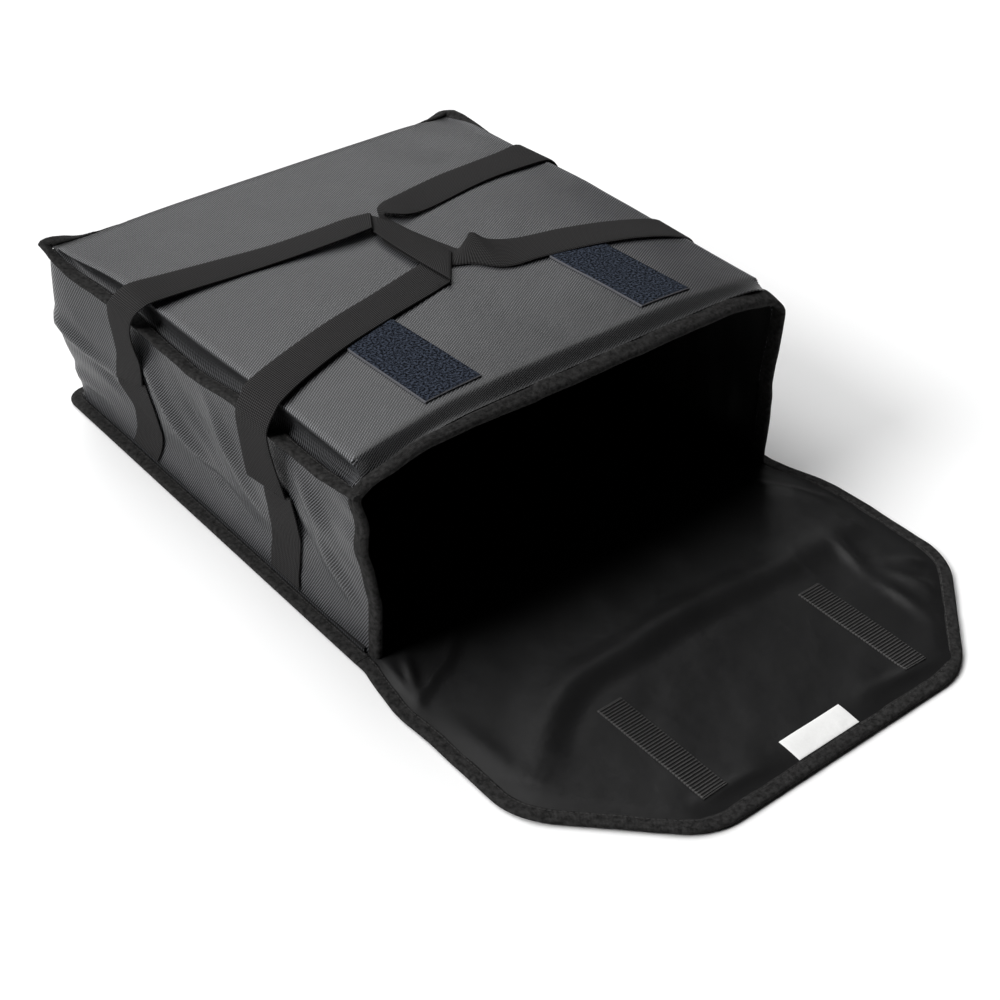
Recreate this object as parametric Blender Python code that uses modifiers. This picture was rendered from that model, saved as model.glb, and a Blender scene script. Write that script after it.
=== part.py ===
"""Insulated carry bag for flat food cartons, with a fold-over front flap and two webbing handles.

The bag stands on the floor with its mouth towards -Y. The origin is the centre of the bag's base.
The front flap is shown open, lying on the floor with its lining up. Units are metres, +Z is up.
"""
from math import pi, radians, sqrt, tan, cos, sin

import bmesh
import bpy
from mathutils import Matrix, Vector

# Bag body, over the outer cloth of the walls
BAG_WIDTH = 0.395
BAG_DEPTH = 0.420
SEAM_HEIGHT = 0.150
WALL_CORNER_RADIUS = 0.016

# Layers of cloth, foam and lining
GAP = 0.0003
CLOTH = 0.0010
LINING = 0.0006
WALL_FOAM = 0.0040
LID_FOAM = 0.0060

# Bound seams: a folded tape over the seam's raw edges
TAPE_WIDTH = 0.0110
TAPE_THICKNESS = 0.0040

# Padded lid
LID_RISE = 0.0175
LID_EDGE_INSET = 0.0090
LID_CROWN = 0.0160
MOUTH_ARCH = 0.0210
LID_PROFILE_SHARES = ((0.0, 0.0), (0.0, 0.22), (0.45, 0.80), (0.66, 0.94), (1.0, 1.0))
LID_REAR_FALL_SHARE = 0.45
LID_REAR_FALL_START_SHARE = 0.75
LID_CELLS = 10

# Front flap, measured from the bag's front edge
FLAP_LENGTH = 0.2656
FLAP_EXTRA_WIDTH = 0.0119
FLARE_LENGTH = 0.050
FLARE_RADIUS = 0.100
CORNER_CUT = 0.0938
CORNER_RADIUS = 0.060
FLAP_STANDOFF = 0.0020
CORNER_STEPS = 6

# Hook and loop closure
LOOP_WIDTH = 0.050
LOOP_LENGTH = 0.110
LOOP_THICKNESS = 0.0015
LOOP_SETBACK = 0.034
CLOSURE_SPREAD = 0.1015
HOOK_WIDTH = 0.022
HOOK_START = 0.135
HOOK_END = 0.241
HOOK_THICKNESS = 0.0012

# Sewn tag on the flap's lining, bare
TAG_WIDTH = 0.060
TAG_HEIGHT = 0.020
TAG_THICKNESS = 0.0004
TAG_OFFSET = -0.004

# Webbing handles. Places along the depth are measured from the bag's front edge
WEBBING_WIDTH = 0.035
WEBBING_THICKNESS = 0.0016
WEBBING_BEND = 0.0005
GRIP_GAP = 0.0006
FRONT_LEG_PLACES = (0.1135, 0.1235, 0.1280, 0.1190)
REAR_LEG_PLACES = (0.3200, 0.3330, 0.3180, 0.2950)
GRIP_FRONT = 0.179
GRIP_REAR = 0.283
STITCH_HEIGHT = 0.080
STRAP_LIFT_HEIGHT = 0.140
LEG_STEPS = 10
GRIP_STEPS = 5

# Sizes worked out from the ones above
HALF_WIDTH = BAG_WIDTH / 2
BODY_FRONT = -BAG_DEPTH / 2
BODY_REAR = BAG_DEPTH / 2
TAPE_OUTER = HALF_WIDTH + GAP + TAPE_WIDTH
FRONT_EDGE = BODY_FRONT - GAP - TAPE_WIDTH
REAR_EDGE = BODY_REAR + GAP + TAPE_WIDTH
WALL_THICKNESS = CLOTH + GAP + WALL_FOAM + GAP + LINING
SHEET_THICKNESS = CLOTH + GAP + WALL_FOAM + GAP + LINING
HINGE_Y = FRONT_EDGE - FLAP_STANDOFF
HINGE_Z = SHEET_THICKNESS
CLOSED_LEVEL = SEAM_HEIGHT + LID_RISE + LID_CROWN + GAP + LOOP_THICKNESS + GAP + HOOK_THICKNESS
FOLD = CLOSED_LEVEL - HINGE_Z
WEBBING_LIFT = GAP + LOOP_THICKNESS + GAP + WEBBING_THICKNESS / 2
STRAP_X = TAPE_OUTER + GAP + WEBBING_THICKNESS / 2
BEND_RADIUS = WEBBING_THICKNESS / 2 + WEBBING_BEND
HANDLE_X = STRAP_X - BEND_RADIUS
HANDLE_Z = SEAM_HEIGHT + LID_RISE + WEBBING_LIFT - BEND_RADIUS


def clear_scene():
    """Remove what the file opened with."""
    for item in list(bpy.data.objects):
        bpy.data.objects.remove(item, do_unlink=True)


def make_material(name, colour, roughness, metallic=0.0):
    """A plain surface with the piece's colour."""
    material = bpy.data.materials.new(name)
    material.use_nodes = True
    shader = material.node_tree.nodes["Principled BSDF"]
    shader.inputs["Base Color"].default_value = (*colour, 1.0)
    shader.inputs["Roughness"].default_value = roughness
    shader.inputs["Metallic"].default_value = metallic
    return material


def make_materials():
    """One material for each kind of cloth, tape and foam."""
    return {
        "coated_cloth": make_material("coated_cloth", (0.115, 0.120, 0.130), 0.45),
        "lining": make_material("lining", (0.012, 0.012, 0.013), 0.38),
        "foam": make_material("foam", (0.62, 0.62, 0.60), 0.90),
        "binding": make_material("binding", (0.020, 0.020, 0.021), 0.80),
        "webbing": make_material("webbing", (0.016, 0.016, 0.017), 0.72),
        "loop_pile": make_material("loop_pile", (0.030, 0.036, 0.050), 0.95),
        "hook_tape": make_material("hook_tape", (0.010, 0.010, 0.011), 0.55),
        "tag_cloth": make_material("tag_cloth", (0.82, 0.82, 0.82), 0.60),
    }


def place_object(name, data, material, collection):
    """Link a mesh or curve as a named piece with its own material."""
    piece = bpy.data.objects.new(name, data)
    data.materials.append(material)
    collection.objects.link(piece)
    return piece


def hang_on(pieces, pivot):
    """Parent pieces to the empty on their joint, leaving them where they are."""
    place = pivot.location.copy()
    if pivot.parent is not None:
        place += pivot.parent.location
    for piece in pieces:
        piece.parent = pivot
        piece.matrix_parent_inverse = Matrix.Translation(-place)


def add_pivot(name, place, collection, parent=None):
    """An empty on a joint's axis."""
    pivot = bpy.data.objects.new(name, None)
    pivot.empty_display_size = TAPE_WIDTH
    collection.objects.link(pivot)
    if parent is None:
        pivot.location = place
    else:
        pivot.parent = parent
        pivot.location = Vector(place) - parent.location
    return pivot


def flat_solid(name, outline, low, thickness, material, collection):
    """A flat outline, filled and thickened upwards from one level."""
    curve = bpy.data.curves.new(name, "CURVE")
    curve.dimensions = "2D"
    curve.fill_mode = "BOTH"
    curve.extrude = thickness / 2
    spline = curve.splines.new("POLY")
    spline.points.add(len(outline) - 1)
    for point, (x, y) in zip(spline.points, outline):
        point.co = (x, y, 0.0, 1.0)
    spline.use_cyclic_u = True
    piece = place_object(name, curve, material, collection)
    piece.location.z = low + thickness / 2
    return piece


def double_sheet(name, columns, rows, upper, lower, material, collection):
    """A solid between two sheets of points, joined round their border."""
    work = bmesh.new()
    borders = []
    for is_upper, point in ((True, upper), (False, lower)):
        sheet = bmesh.ops.create_grid(work, x_segments=columns, y_segments=rows, size=1.0)["verts"]
        for vertex in sheet:
            column = round((vertex.co.x + 1.0) / 2.0 * columns)
            row = round((vertex.co.y + 1.0) / 2.0 * rows)
            vertex.co = point(column, row)
        faces = {face for vertex in sheet for face in vertex.link_faces}
        if not is_upper:
            bmesh.ops.reverse_faces(work, faces=list(faces))
        borders += [edge for face in faces for edge in face.edges if edge.is_boundary]
    bmesh.ops.bridge_loops(work, edges=list(set(borders)))
    bmesh.ops.recalc_face_normals(work, faces=work.faces)
    mesh = bpy.data.meshes.new(name)
    work.to_mesh(mesh)
    work.free()
    return place_object(name, mesh, material, collection)


def ladder_strip(name, rungs, thickness, material, collection):
    """A flat strap: an edge drawn along its rungs, then thickened to both sides."""
    work = bmesh.new()
    ends = [work.verts.new(point) for point in rungs[0]]
    edge = work.edges.new(ends)
    for rung in rungs[1:]:
        drawn = bmesh.ops.extrude_edge_only(work, edges=[edge])["geom"]
        edge = next(item for item in drawn if isinstance(item, bmesh.types.BMEdge))
        new_ends = [item for item in drawn if isinstance(item, bmesh.types.BMVert)]
        followers = []
        for old in ends:
            followers.append(next(item for item in new_ends
                                  if any(link.other_vert(item) is old for link in item.link_edges)))
        for vertex, point in zip(followers, rung):
            vertex.co = point
        ends = followers
    bmesh.ops.recalc_face_normals(work, faces=work.faces)
    mesh = bpy.data.meshes.new(name)
    work.to_mesh(mesh)
    work.free()
    piece = place_object(name, mesh, material, collection)
    shell = piece.modifiers.new("thickness", "SOLIDIFY")
    shell.thickness = thickness
    shell.offset = 0.0
    shell.use_even_offset = True
    return piece


def board(name, low, high, material, collection):
    """A flat foam board or a tape edge between two corners."""
    bpy.ops.mesh.primitive_cube_add(size=1.0, location=(Vector(low) + Vector(high)) / 2)
    piece = bpy.context.object
    piece.name = name
    piece.data.name = name
    piece.data.transform(Matrix.Diagonal((*(Vector(high) - Vector(low)), 1.0)))
    piece.data.materials.append(material)
    for owner in list(piece.users_collection):
        owner.objects.unlink(piece)
    collection.objects.link(piece)
    return piece


def round_corners(points, radii):
    """Replace each inner point of an open outline by an arc of its radius."""
    result = [Vector(points[0])]
    for before, corner, after, radius in zip(points, points[1:], points[2:], radii):
        corner = Vector(corner)
        start = (Vector(before) - corner).normalized()
        end = (Vector(after) - corner).normalized()
        turn = pi - start.angle(end)
        reach = radius * tan(turn / 2)
        first = corner + start * reach
        last = corner + end * reach
        centre = corner + (start + end).normalized() * (radius / cos(turn / 2))
        for step in range(CORNER_STEPS + 1):
            share = step / CORNER_STEPS
            swing = (first - centre) * sin(turn * (1 - share)) + (last - centre) * sin(turn * share)
            result.append(centre + swing / sin(turn))
    result.append(Vector(points[-1]))
    return [(point.x, point.y) for point in result]


def mirrored(outline):
    """The same outline on the other side, from its far end back."""
    return [(-x, y) for x, y in reversed(outline)]


def wall_path(inset):
    """Half of the wall's run, from the right front edge to the middle of the rear."""
    side = HALF_WIDTH - inset
    rear = BODY_REAR - inset
    corners = ((side, BODY_FRONT), (side, rear), (0.0, rear))
    return round_corners(corners, (WALL_CORNER_RADIUS - inset,))


def wall_band(name, inset, thickness, material, collection):
    """One layer of the wall: left side, rear and right side in one piece."""
    outer = wall_path(inset)
    inner = wall_path(inset + thickness)
    outline = outer[:-1] + mirrored(outer)[1:] + list(reversed(mirrored(inner)[1:])) + inner[-2::-1]
    low = CLOTH + GAP
    return flat_solid(name, outline, low, SEAM_HEIGHT - GAP - low, material, collection)


def build_walls(materials, collection):
    """Outer cloth, three foam boards and lining of the soft walls."""
    board_in = HALF_WIDTH - CLOTH - GAP
    board_rear = BODY_REAR - CLOTH - GAP
    low = CLOTH + GAP
    high = SEAM_HEIGHT - GAP
    wall_band("gusset_outer_panel", 0.0, CLOTH, materials["coated_cloth"], collection)
    for side, sign in (("left", -1), ("right", 1)):
        near = sign * board_in
        far = sign * (board_in - WALL_FOAM)
        board(side + "_foam_board",
              (min(near, far), BODY_FRONT, low),
              (max(near, far), BODY_REAR - WALL_CORNER_RADIUS, high),
              materials["foam"], collection)
    reach = HALF_WIDTH - WALL_CORNER_RADIUS
    board("rear_foam_board", (-reach, board_rear - WALL_FOAM, low), (reach, board_rear, high),
          materials["foam"], collection)
    wall_band("gusset_lining", CLOTH + GAP + WALL_FOAM + GAP, LINING, materials["lining"], collection)


def build_base(materials, collection):
    """Outer cloth, foam and lining of the base, which run on under the mouth to the flap."""
    foam_low = CLOTH + GAP
    lining_low = foam_low + WALL_FOAM + GAP
    inside = WALL_THICKNESS + GAP
    layers = (("base_outer_panel", 0.0, 0.0, CLOTH, "coated_cloth"),
              ("base_foam_board", inside, foam_low, WALL_FOAM, "foam"),
              ("base_lining", inside, lining_low, LINING, "lining"))
    for name, inset, low, thickness, kind in layers:
        half = wall_path(inset)
        half[0] = (half[0][0], HINGE_Y)
        flat_solid(name, half[:-1] + mirrored(half)[1:], low, thickness, materials[kind], collection)


def arch_share(x, reach=HALF_WIDTH):
    """Share of an arch's height at a place across the bag: flat in the middle, steep at the sides."""
    return 1 - min(1.0, abs(x) / reach) ** 4


def depth_share(y):
    """Share of the bag's depth behind its mouth."""
    return min(1.0, max(0.0, (y - BODY_FRONT) / BAG_DEPTH))


def lid_top(x, y):
    """Height of the lid's upper face: crowned at the mouth, lower along the rear."""
    along = depth_share(y)
    past = max(0.0, along - LID_REAR_FALL_START_SHARE) / (1 - LID_REAR_FALL_START_SHARE)
    rise = LID_RISE * (1 - LID_REAR_FALL_SHARE * past ** 2)
    return SEAM_HEIGHT + rise + LID_CROWN * arch_share(x) * (1 - along)


def lid_rim(x, y, reach=HALF_WIDTH):
    """Height of the lid's seam, which arches over the mouth and is level at the rear."""
    return SEAM_HEIGHT + MOUTH_ARCH * arch_share(x, reach) * (1 - depth_share(y))


def lid_lines(low, high):
    """Places of the lid's grid lines from one edge to the other, each with its share of the rise."""
    edge = [(low + LID_EDGE_INSET * inset, rise) for inset, rise in LID_PROFILE_SHARES]
    far_edge = [(high - LID_EDGE_INSET * inset, rise) for inset, rise in reversed(LID_PROFILE_SHARES)]
    start = low + LID_EDGE_INSET
    cell = (high - low - 2 * LID_EDGE_INSET) / LID_CELLS
    middle = [(start + cell * step, 1.0) for step in range(1, LID_CELLS)]
    return edge + middle + far_edge


def lid_layer(name, inset, thickness, material, collection):
    """One layer of the lid: a shallow tray with a crowned top, nested by its inset."""
    def sheet(depth):
        columns = lid_lines(-HALF_WIDTH + depth, HALF_WIDTH - depth)
        rows = lid_lines(BODY_FRONT + depth, BODY_REAR - depth)

        def point(column, row):
            x, rise_x = columns[column]
            y, rise_y = rows[row]
            rim = lid_rim(x, y, HALF_WIDTH - depth)
            top = lid_top(x, y) - depth
            return Vector((x, y, rim + (top - rim) * min(rise_x, rise_y)))
        return point, len(columns) - 1

    upper, cells = sheet(inset)
    lower, cells = sheet(inset + thickness)
    return double_sheet(name, cells, cells, upper, lower, material, collection)


def build_lid(materials, collection):
    """Padded lid: outer cloth, foam and lining, nested as trays that sit on the walls."""
    foam_inset = CLOTH + GAP
    lining_inset = foam_inset + LID_FOAM + GAP
    lid_layer("lid_outer_panel", 0.0, CLOTH, materials["coated_cloth"], collection)
    lid_layer("lid_foam_board", foam_inset, LID_FOAM, materials["foam"], collection)
    lid_layer("lid_lining", lining_inset, LINING, materials["lining"], collection)


def seam_frame(name, front, low, thickness, material, collection):
    """Binding tape round the left, rear and right edges."""
    inner = HALF_WIDTH + GAP
    inner_rear = BODY_REAR + GAP
    corner = WALL_CORNER_RADIUS
    outer = round_corners(((TAPE_OUTER, front), (TAPE_OUTER, REAR_EDGE), (0.0, REAR_EDGE)),
                          (corner,))
    inside = [(inner, front), (inner, inner_rear)]
    outline = outer[:-1] + mirrored(outer)[1:] + [(-x, y) for x, y in inside] + inside[::-1]
    return flat_solid(name, outline, low, thickness, material, collection)


def build_seam_tapes(materials, collection):
    """Binding tapes on the bag's top, bottom and mouth edges."""
    tape = materials["binding"]
    half_tape = TAPE_THICKNESS / 2
    seam_frame("top_seam_binding", BODY_FRONT, SEAM_HEIGHT - half_tape, TAPE_THICKNESS, tape,
               collection)
    seam_frame("bottom_seam_binding", HINGE_Y, 0.0, SHEET_THICKNESS, tape, collection)

    cells = 2 * LID_CELLS
    def arch_point(shift):
        def point(column, row):
            x = -TAPE_OUTER + 2 * TAPE_OUTER * column / cells
            y = FRONT_EDGE + TAPE_WIDTH * row
            return Vector((x, y, lid_rim(x, y) + shift))
        return point
    double_sheet("mouth_top_binding", cells, 1, arch_point(half_tape), arch_point(-half_tape),
                 tape, collection)
    for side, sign in (("left", -1), ("right", 1)):
        near = sign * HALF_WIDTH
        far = sign * (HALF_WIDTH - WALL_THICKNESS)
        board("mouth_" + side + "_binding",
              (min(near, far), FRONT_EDGE, CLOTH + GAP),
              (max(near, far), BODY_FRONT - GAP, SEAM_HEIGHT - half_tape - GAP),
              tape, collection)


def flap_outline(inset):
    """Right half of the flap's outline from the hinge to the middle of its end, as (x, distance)."""
    start = TAPE_OUTER - inset
    side = TAPE_OUTER + FLAP_EXTRA_WIDTH - inset
    end = FLAP_LENGTH - inset
    cut = TAPE_OUTER + FLAP_EXTRA_WIDTH + FLAP_LENGTH - CORNER_CUT - inset * sqrt(2)
    corners = ((start, 0.0), (side, FLARE_LENGTH), (side, cut - side), (cut - end, end), (0.0, end))
    radius = CORNER_RADIUS - inset
    return round_corners(corners, (FLARE_RADIUS, radius, radius))


def clip_outline(outline, start, end):
    """The part of an outline between two distances from the hinge."""
    clipped = []
    for first, last in zip(outline, outline[1:]):
        low = max(first[1], start)
        high = min(last[1], end)
        if high < low or last[1] <= start or first[1] >= end:
            continue
        span = last[1] - first[1]
        for place in (low, high):
            share = (place - first[1]) / span if span else 0.0
            point = (first[0] + (last[0] - first[0]) * share, place)
            if not clipped or (Vector(clipped[-1]) - Vector(point)).length > GAP / 10:
                clipped.append(point)
    return clipped


def on_floor(outline):
    """Turn distances from the hinge into places on the floor."""
    return [(x, HINGE_Y - distance) for x, distance in outline]


def flap_sheet(name, start, end, low, thickness, material, collection):
    """One layer of the flap between two distances from the hinge, inside its binding."""
    half = clip_outline(flap_outline(TAPE_WIDTH + GAP), start, end)
    return flat_solid(name, on_floor(half + mirrored(half)), low, thickness, material, collection)


def build_flap(materials, collection):
    """The flap's three layers and its edge tape, split at the fold over the lid's front edge."""
    near = (GAP, FOLD - GAP)
    tip_end = FLAP_LENGTH - TAPE_WIDTH - GAP
    foam_low = CLOTH + GAP
    lining_low = foam_low + WALL_FOAM + GAP
    layers = (("outer_panel", 0.0, CLOTH, "coated_cloth"),
              ("foam_board", foam_low, WALL_FOAM, "foam"),
              ("lining", lining_low, LINING, "lining"))
    front_pieces = []
    tip_pieces = []
    for layer, low, thickness, kind in layers:
        front_pieces.append(flap_sheet("flap_" + layer, *near, low, thickness, materials[kind],
                                       collection))
        tip_pieces.append(flap_sheet("flap_tip_" + layer, FOLD + GAP, tip_end, low, thickness,
                                     materials[kind], collection))
    outer = clip_outline(flap_outline(0.0), *near)
    inner = clip_outline(flap_outline(TAPE_WIDTH), *near)
    strip = outer + inner[::-1]
    for side, sign in (("left", -1), ("right", 1)):
        outline = [(sign * x, y) for x, y in on_floor(strip)]
        front_pieces.append(flat_solid("flap_" + side + "_binding", outline, 0.0, SHEET_THICKNESS,
                                       materials["binding"], collection))
    outer = clip_outline(flap_outline(0.0), FOLD + GAP, FLAP_LENGTH)
    inner = clip_outline(flap_outline(TAPE_WIDTH), FOLD + GAP, FLAP_LENGTH - TAPE_WIDTH)
    rim = outer + mirrored(outer) + list(reversed(mirrored(inner))) + inner[::-1]
    tip_pieces.append(flat_solid("flap_tip_binding", on_floor(rim), 0.0, SHEET_THICKNESS,
                                 materials["binding"], collection))
    return front_pieces, tip_pieces


def build_closure(materials, collection):
    """Loop patches on the lid, hook strips on the flap's lining and the bare sewn tag."""
    front_pieces = []
    tip_pieces = []
    corner_room = HOOK_THICKNESS + GAP
    heel = (HOOK_START, FOLD - corner_room)
    toe = (FOLD + corner_room, HOOK_END)
    for side, sign in (("left", -1), ("right", 1)):
        middle = sign * CLOSURE_SPREAD
        cells = LID_CELLS

        def patch_point(lift):
            def point(column, row):
                x = middle + LOOP_WIDTH * (column / cells - 1 / 2)
                y = FRONT_EDGE + LOOP_SETBACK + LOOP_LENGTH * row / cells
                return Vector((x, y, lid_top(x, y) + lift))
            return point
        double_sheet(side + "_loop_patch", cells, cells, patch_point(GAP + LOOP_THICKNESS),
                     patch_point(GAP), materials["loop_pile"], collection)
        for part, (start, end), pieces in (("_hook_strip_heel", heel, front_pieces),
                                           ("_hook_strip", toe, tip_pieces)):
            pieces.append(board(side + part,
                                (middle - HOOK_WIDTH / 2, HINGE_Y - end, SHEET_THICKNESS),
                                (middle + HOOK_WIDTH / 2, HINGE_Y - start,
                                 SHEET_THICKNESS + HOOK_THICKNESS),
                                materials["hook_tape"], collection))
    tag_end = HINGE_Y - FLAP_LENGTH + TAPE_WIDTH + GAP
    tip_pieces.append(board("sewn_tag",
                            (TAG_OFFSET - TAG_WIDTH / 2, tag_end, SHEET_THICKNESS),
                            (TAG_OFFSET + TAG_WIDTH / 2, tag_end + TAG_HEIGHT,
                             SHEET_THICKNESS + TAG_THICKNESS),
                            materials["tag_cloth"], collection))
    return front_pieces, tip_pieces


def build_straps(materials, collection):
    """Webbing straps that climb the side walls, sewn on up to the stitch line and free above it."""
    sewn_x = HALF_WIDTH + GAP + WEBBING_THICKNESS / 2
    for side, sign in (("left", -1), ("right", 1)):
        for leg, places in (("front", FRONT_LEG_PLACES), ("rear", REAR_LEG_PLACES)):
            low, stitch, lift, high = (FRONT_EDGE + place for place in places)
            stations = ((sewn_x, low, SHEET_THICKNESS + GAP),
                        (sewn_x, stitch, STITCH_HEIGHT),
                        (STRAP_X, lift, STRAP_LIFT_HEIGHT),
                        (STRAP_X, high, HANDLE_Z - GAP))
            rungs = [((sign * x, y - WEBBING_WIDTH / 2, z), (sign * x, y + WEBBING_WIDTH / 2, z))
                     for x, y, z in stations]
            ladder_strip(side + "_" + leg + "_strap", rungs, WEBBING_THICKNESS,
                         materials["webbing"], collection)


def handle_border(half_width):
    """One long edge of the handle's webbing in plan, mitred at both turns of the grip."""
    grip_x = (GRIP_GAP + WEBBING_WIDTH) / 2
    start_x = HANDLE_X - GAP
    front = (start_x, FRONT_EDGE + FRONT_LEG_PLACES[-1])
    rear = (start_x, FRONT_EDGE + REAR_LEG_PLACES[-1])
    turn_front = (grip_x, FRONT_EDGE + GRIP_FRONT)
    turn_rear = (grip_x, FRONT_EDGE + GRIP_REAR)
    centre = [Vector(point) for point in (front, turn_front, turn_rear, rear)]
    grip_edge = grip_x - half_width

    def on_leg(outer_end, turn, x, side):
        direction = (turn - outer_end).normalized()
        square = Vector((-direction.y, direction.x)) * side
        shifted = outer_end + square
        return Vector((x, shifted.y + direction.y * (x - shifted.x) / direction.x))

    front_turn = on_leg(centre[0], centre[1], grip_edge, half_width)
    rear_turn = on_leg(centre[3], centre[2], grip_edge, -half_width)
    front_start = on_leg(centre[0], centre[1], start_x, half_width)
    rear_start = on_leg(centre[3], centre[2], start_x, -half_width)
    return front_start, front_turn, rear_turn, rear_start


def build_handles(materials, collection):
    """Two webbing loops that lie on the crowned lid, each one strip with mitred turns."""
    handles = []
    outer = handle_border(WEBBING_WIDTH / 2)
    inner = handle_border(-WEBBING_WIDTH / 2)
    for side, sign in (("left", -1), ("right", 1)):
        rungs = []
        for stretch, steps in enumerate((LEG_STEPS, GRIP_STEPS, LEG_STEPS)):
            for step in range(0 if stretch == 0 else 1, steps + 1):
                rung = []
                for border in (outer, inner):
                    point = border[stretch].lerp(border[stretch + 1], step / steps)
                    height = lid_top(point.x, point.y) + WEBBING_LIFT
                    rung.append((sign * point.x, point.y, height))
                rungs.append(rung)
        handles.append(ladder_strip(side + "_handle", rungs, WEBBING_THICKNESS,
                                    materials["webbing"], collection))
    return handles


def build_bag():
    """All pieces in one collection, with an empty on each joint's axis."""
    clear_scene()
    collection = bpy.data.collections.new("carry_bag")
    bpy.context.scene.collection.children.link(collection)
    materials = make_materials()
    build_walls(materials, collection)
    build_base(materials, collection)
    build_lid(materials, collection)
    build_seam_tapes(materials, collection)
    flap_pieces, tip_pieces = build_flap(materials, collection)
    heel_pieces, toe_pieces = build_closure(materials, collection)
    build_straps(materials, collection)
    handles = build_handles(materials, collection)
    flap_pivot = add_pivot("flap_pivot", (0.0, HINGE_Y, HINGE_Z), collection)
    tip_pivot = add_pivot("flap_tip_pivot", (0.0, HINGE_Y - FOLD, HINGE_Z), collection, flap_pivot)
    hang_on(flap_pieces + heel_pieces, flap_pivot)
    hang_on(tip_pieces + toe_pieces, tip_pivot)
    for handle, sign in zip(handles, (-1, 1)):
        pivot = add_pivot(handle.name + "_pivot", (sign * HANDLE_X, 0.0, HANDLE_Z), collection)
        hang_on([handle], pivot)


build_bag()
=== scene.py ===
"""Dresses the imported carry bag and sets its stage.

It adds padded cloth covers, satin linings, sewn tape, webbing handles and closures.
"""

import cmath
import math

import bpy
import numpy as np
from bpy.props import FloatProperty, FloatVectorProperty, PointerProperty
from mathutils import Matrix, Vector


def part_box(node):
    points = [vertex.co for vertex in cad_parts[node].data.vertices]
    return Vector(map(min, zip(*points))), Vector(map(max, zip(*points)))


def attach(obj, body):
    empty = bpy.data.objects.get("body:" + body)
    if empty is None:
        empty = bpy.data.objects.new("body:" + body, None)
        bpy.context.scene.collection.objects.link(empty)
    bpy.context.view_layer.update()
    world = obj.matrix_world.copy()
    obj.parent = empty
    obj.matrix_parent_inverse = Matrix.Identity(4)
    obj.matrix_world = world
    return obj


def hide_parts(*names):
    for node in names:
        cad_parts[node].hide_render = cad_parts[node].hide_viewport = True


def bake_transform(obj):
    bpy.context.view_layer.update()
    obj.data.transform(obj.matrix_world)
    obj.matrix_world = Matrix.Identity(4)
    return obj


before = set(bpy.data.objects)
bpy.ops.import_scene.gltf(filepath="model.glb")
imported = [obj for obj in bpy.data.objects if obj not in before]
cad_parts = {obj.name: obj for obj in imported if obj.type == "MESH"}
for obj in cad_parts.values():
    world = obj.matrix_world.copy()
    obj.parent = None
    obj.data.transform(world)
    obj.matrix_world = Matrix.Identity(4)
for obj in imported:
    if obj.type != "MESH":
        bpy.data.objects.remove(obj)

bl_info = {
    "name": "Carry bag look",
    "version": (1, 0, 0),
    "blender": (4, 5, 0),
    "location": "View3D > Sidebar > Carry bag",
    "description": "Builds the cloth, tape, webbing and closures round the packed carry bag",
    "category": "Object",
}

# The bag's body
HALF_WIDTH = 0.1975
BODY_FRONT = -0.210
BODY_REAR = 0.210
SEAM_HEIGHT = 0.150
CORNER_RADIUS = 0.010
CLOTH = 0.0010
FOAM = 0.0040
SHEET_GAP = 0.0002
WALL_COLUMNS = 290
WALL_ROWS = 34

# The lid's soft top
LID_RISE = 0.0175
LID_CROWN = 0.0172
CROWN_POWER = 4
CROWN_FADE = 1.4
MOUTH_ARCH = 0.0275
MOUTH_POWER = 10
REAR_FALL = 0.0098
LID_FOAM = 0.0062
LID_EDGE = 0.0012
LID_CELL = 0.004

# The cross-section of the lid's edge from the seam inward: shares of the lid's rise, and how far in
# they lie at the sides, the front and the rear
EDGE_SHARES = (0.0, 0.04, 0.14, 0.30, 0.48, 0.65, 0.80, 0.92, 0.985, 1.015, 1.02, 1.005, 1.0)
SIDE_PLACES = (
    0.0, 0.0024, 0.0044, 0.0052, 0.0048, 0.0036, 0.0022, 0.0010, 0.0008, 0.0018, 0.0040, 0.0066, 0.0100
)
FRONT_PLACES = (
    0.0, 0.0018, 0.0038, 0.0056, 0.0072, 0.0086, 0.0100, 0.0113, 0.0127, 0.0142, 0.0160, 0.0180, 0.0205
)
REAR_PLACES = (
    0.0, 0.0010, 0.0019, 0.0027, 0.0034, 0.0040, 0.0047, 0.0056, 0.0068, 0.0083, 0.0100, 0.0120, 0.0145
)

# Painted shade along the lid's sides, from the seam inward: how much darker the cloth's colour is made on
# the band under the lid's edge; below 0 it is a painted highlight along the top edge
SIDE_PAINTED_SHADES = (0.42, 0.45, 0.52, 0.62, 0.74, 0.84, 0.88, 0.76, 0.10, -0.75, -0.60, -0.10, 0.0)

# How far the walls stand out at the mouth: heights, then distances outward
LEFT_MOUTH = (
    (0.0, 0.020, 0.040, 0.055, 0.070, 0.084, 0.098, 0.111, 0.119, 0.126, 0.135, 0.150),
    (-0.0022, -0.0030, -0.0034, -0.0023, -0.0004, 0.0018, 0.0062, 0.0084, 0.0066, 0.0050, 0.0060, 0.0070),
)
RIGHT_MOUTH = (
    (0.0, 0.068, 0.081, 0.087, 0.096, 0.107, 0.124, 0.150),
    (0.0030, 0.0044, 0.0012, 0.0008, 0.0020, 0.0030, 0.0056, 0.0058),
)

# The bound seams
TAPE_WIDTH = 0.0113
TAPE_THICKNESS = 0.0036
TAPE_OUTER = HALF_WIDTH + TAPE_WIDTH
TAPE_CENTRE = HALF_WIDTH + TAPE_WIDTH / 2
TAPE_STEP = 0.003

# The front flap
HINGE_Y = -0.2233
FOLD_Y = -0.4039
FLAP_LENGTH = 0.2656
FLAP_HALF = 0.2207
FLARE_LENGTH = 0.050
FLARE_RADIUS = 0.100
CORNER_CUT = 0.0938
FLAP_RADIUS = 0.060
FLAP_SPLIT = 0.137
FLAP_TUCK = 0.018
FLAP_INSET = 0.006
BEND_REACH = 0.010

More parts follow.
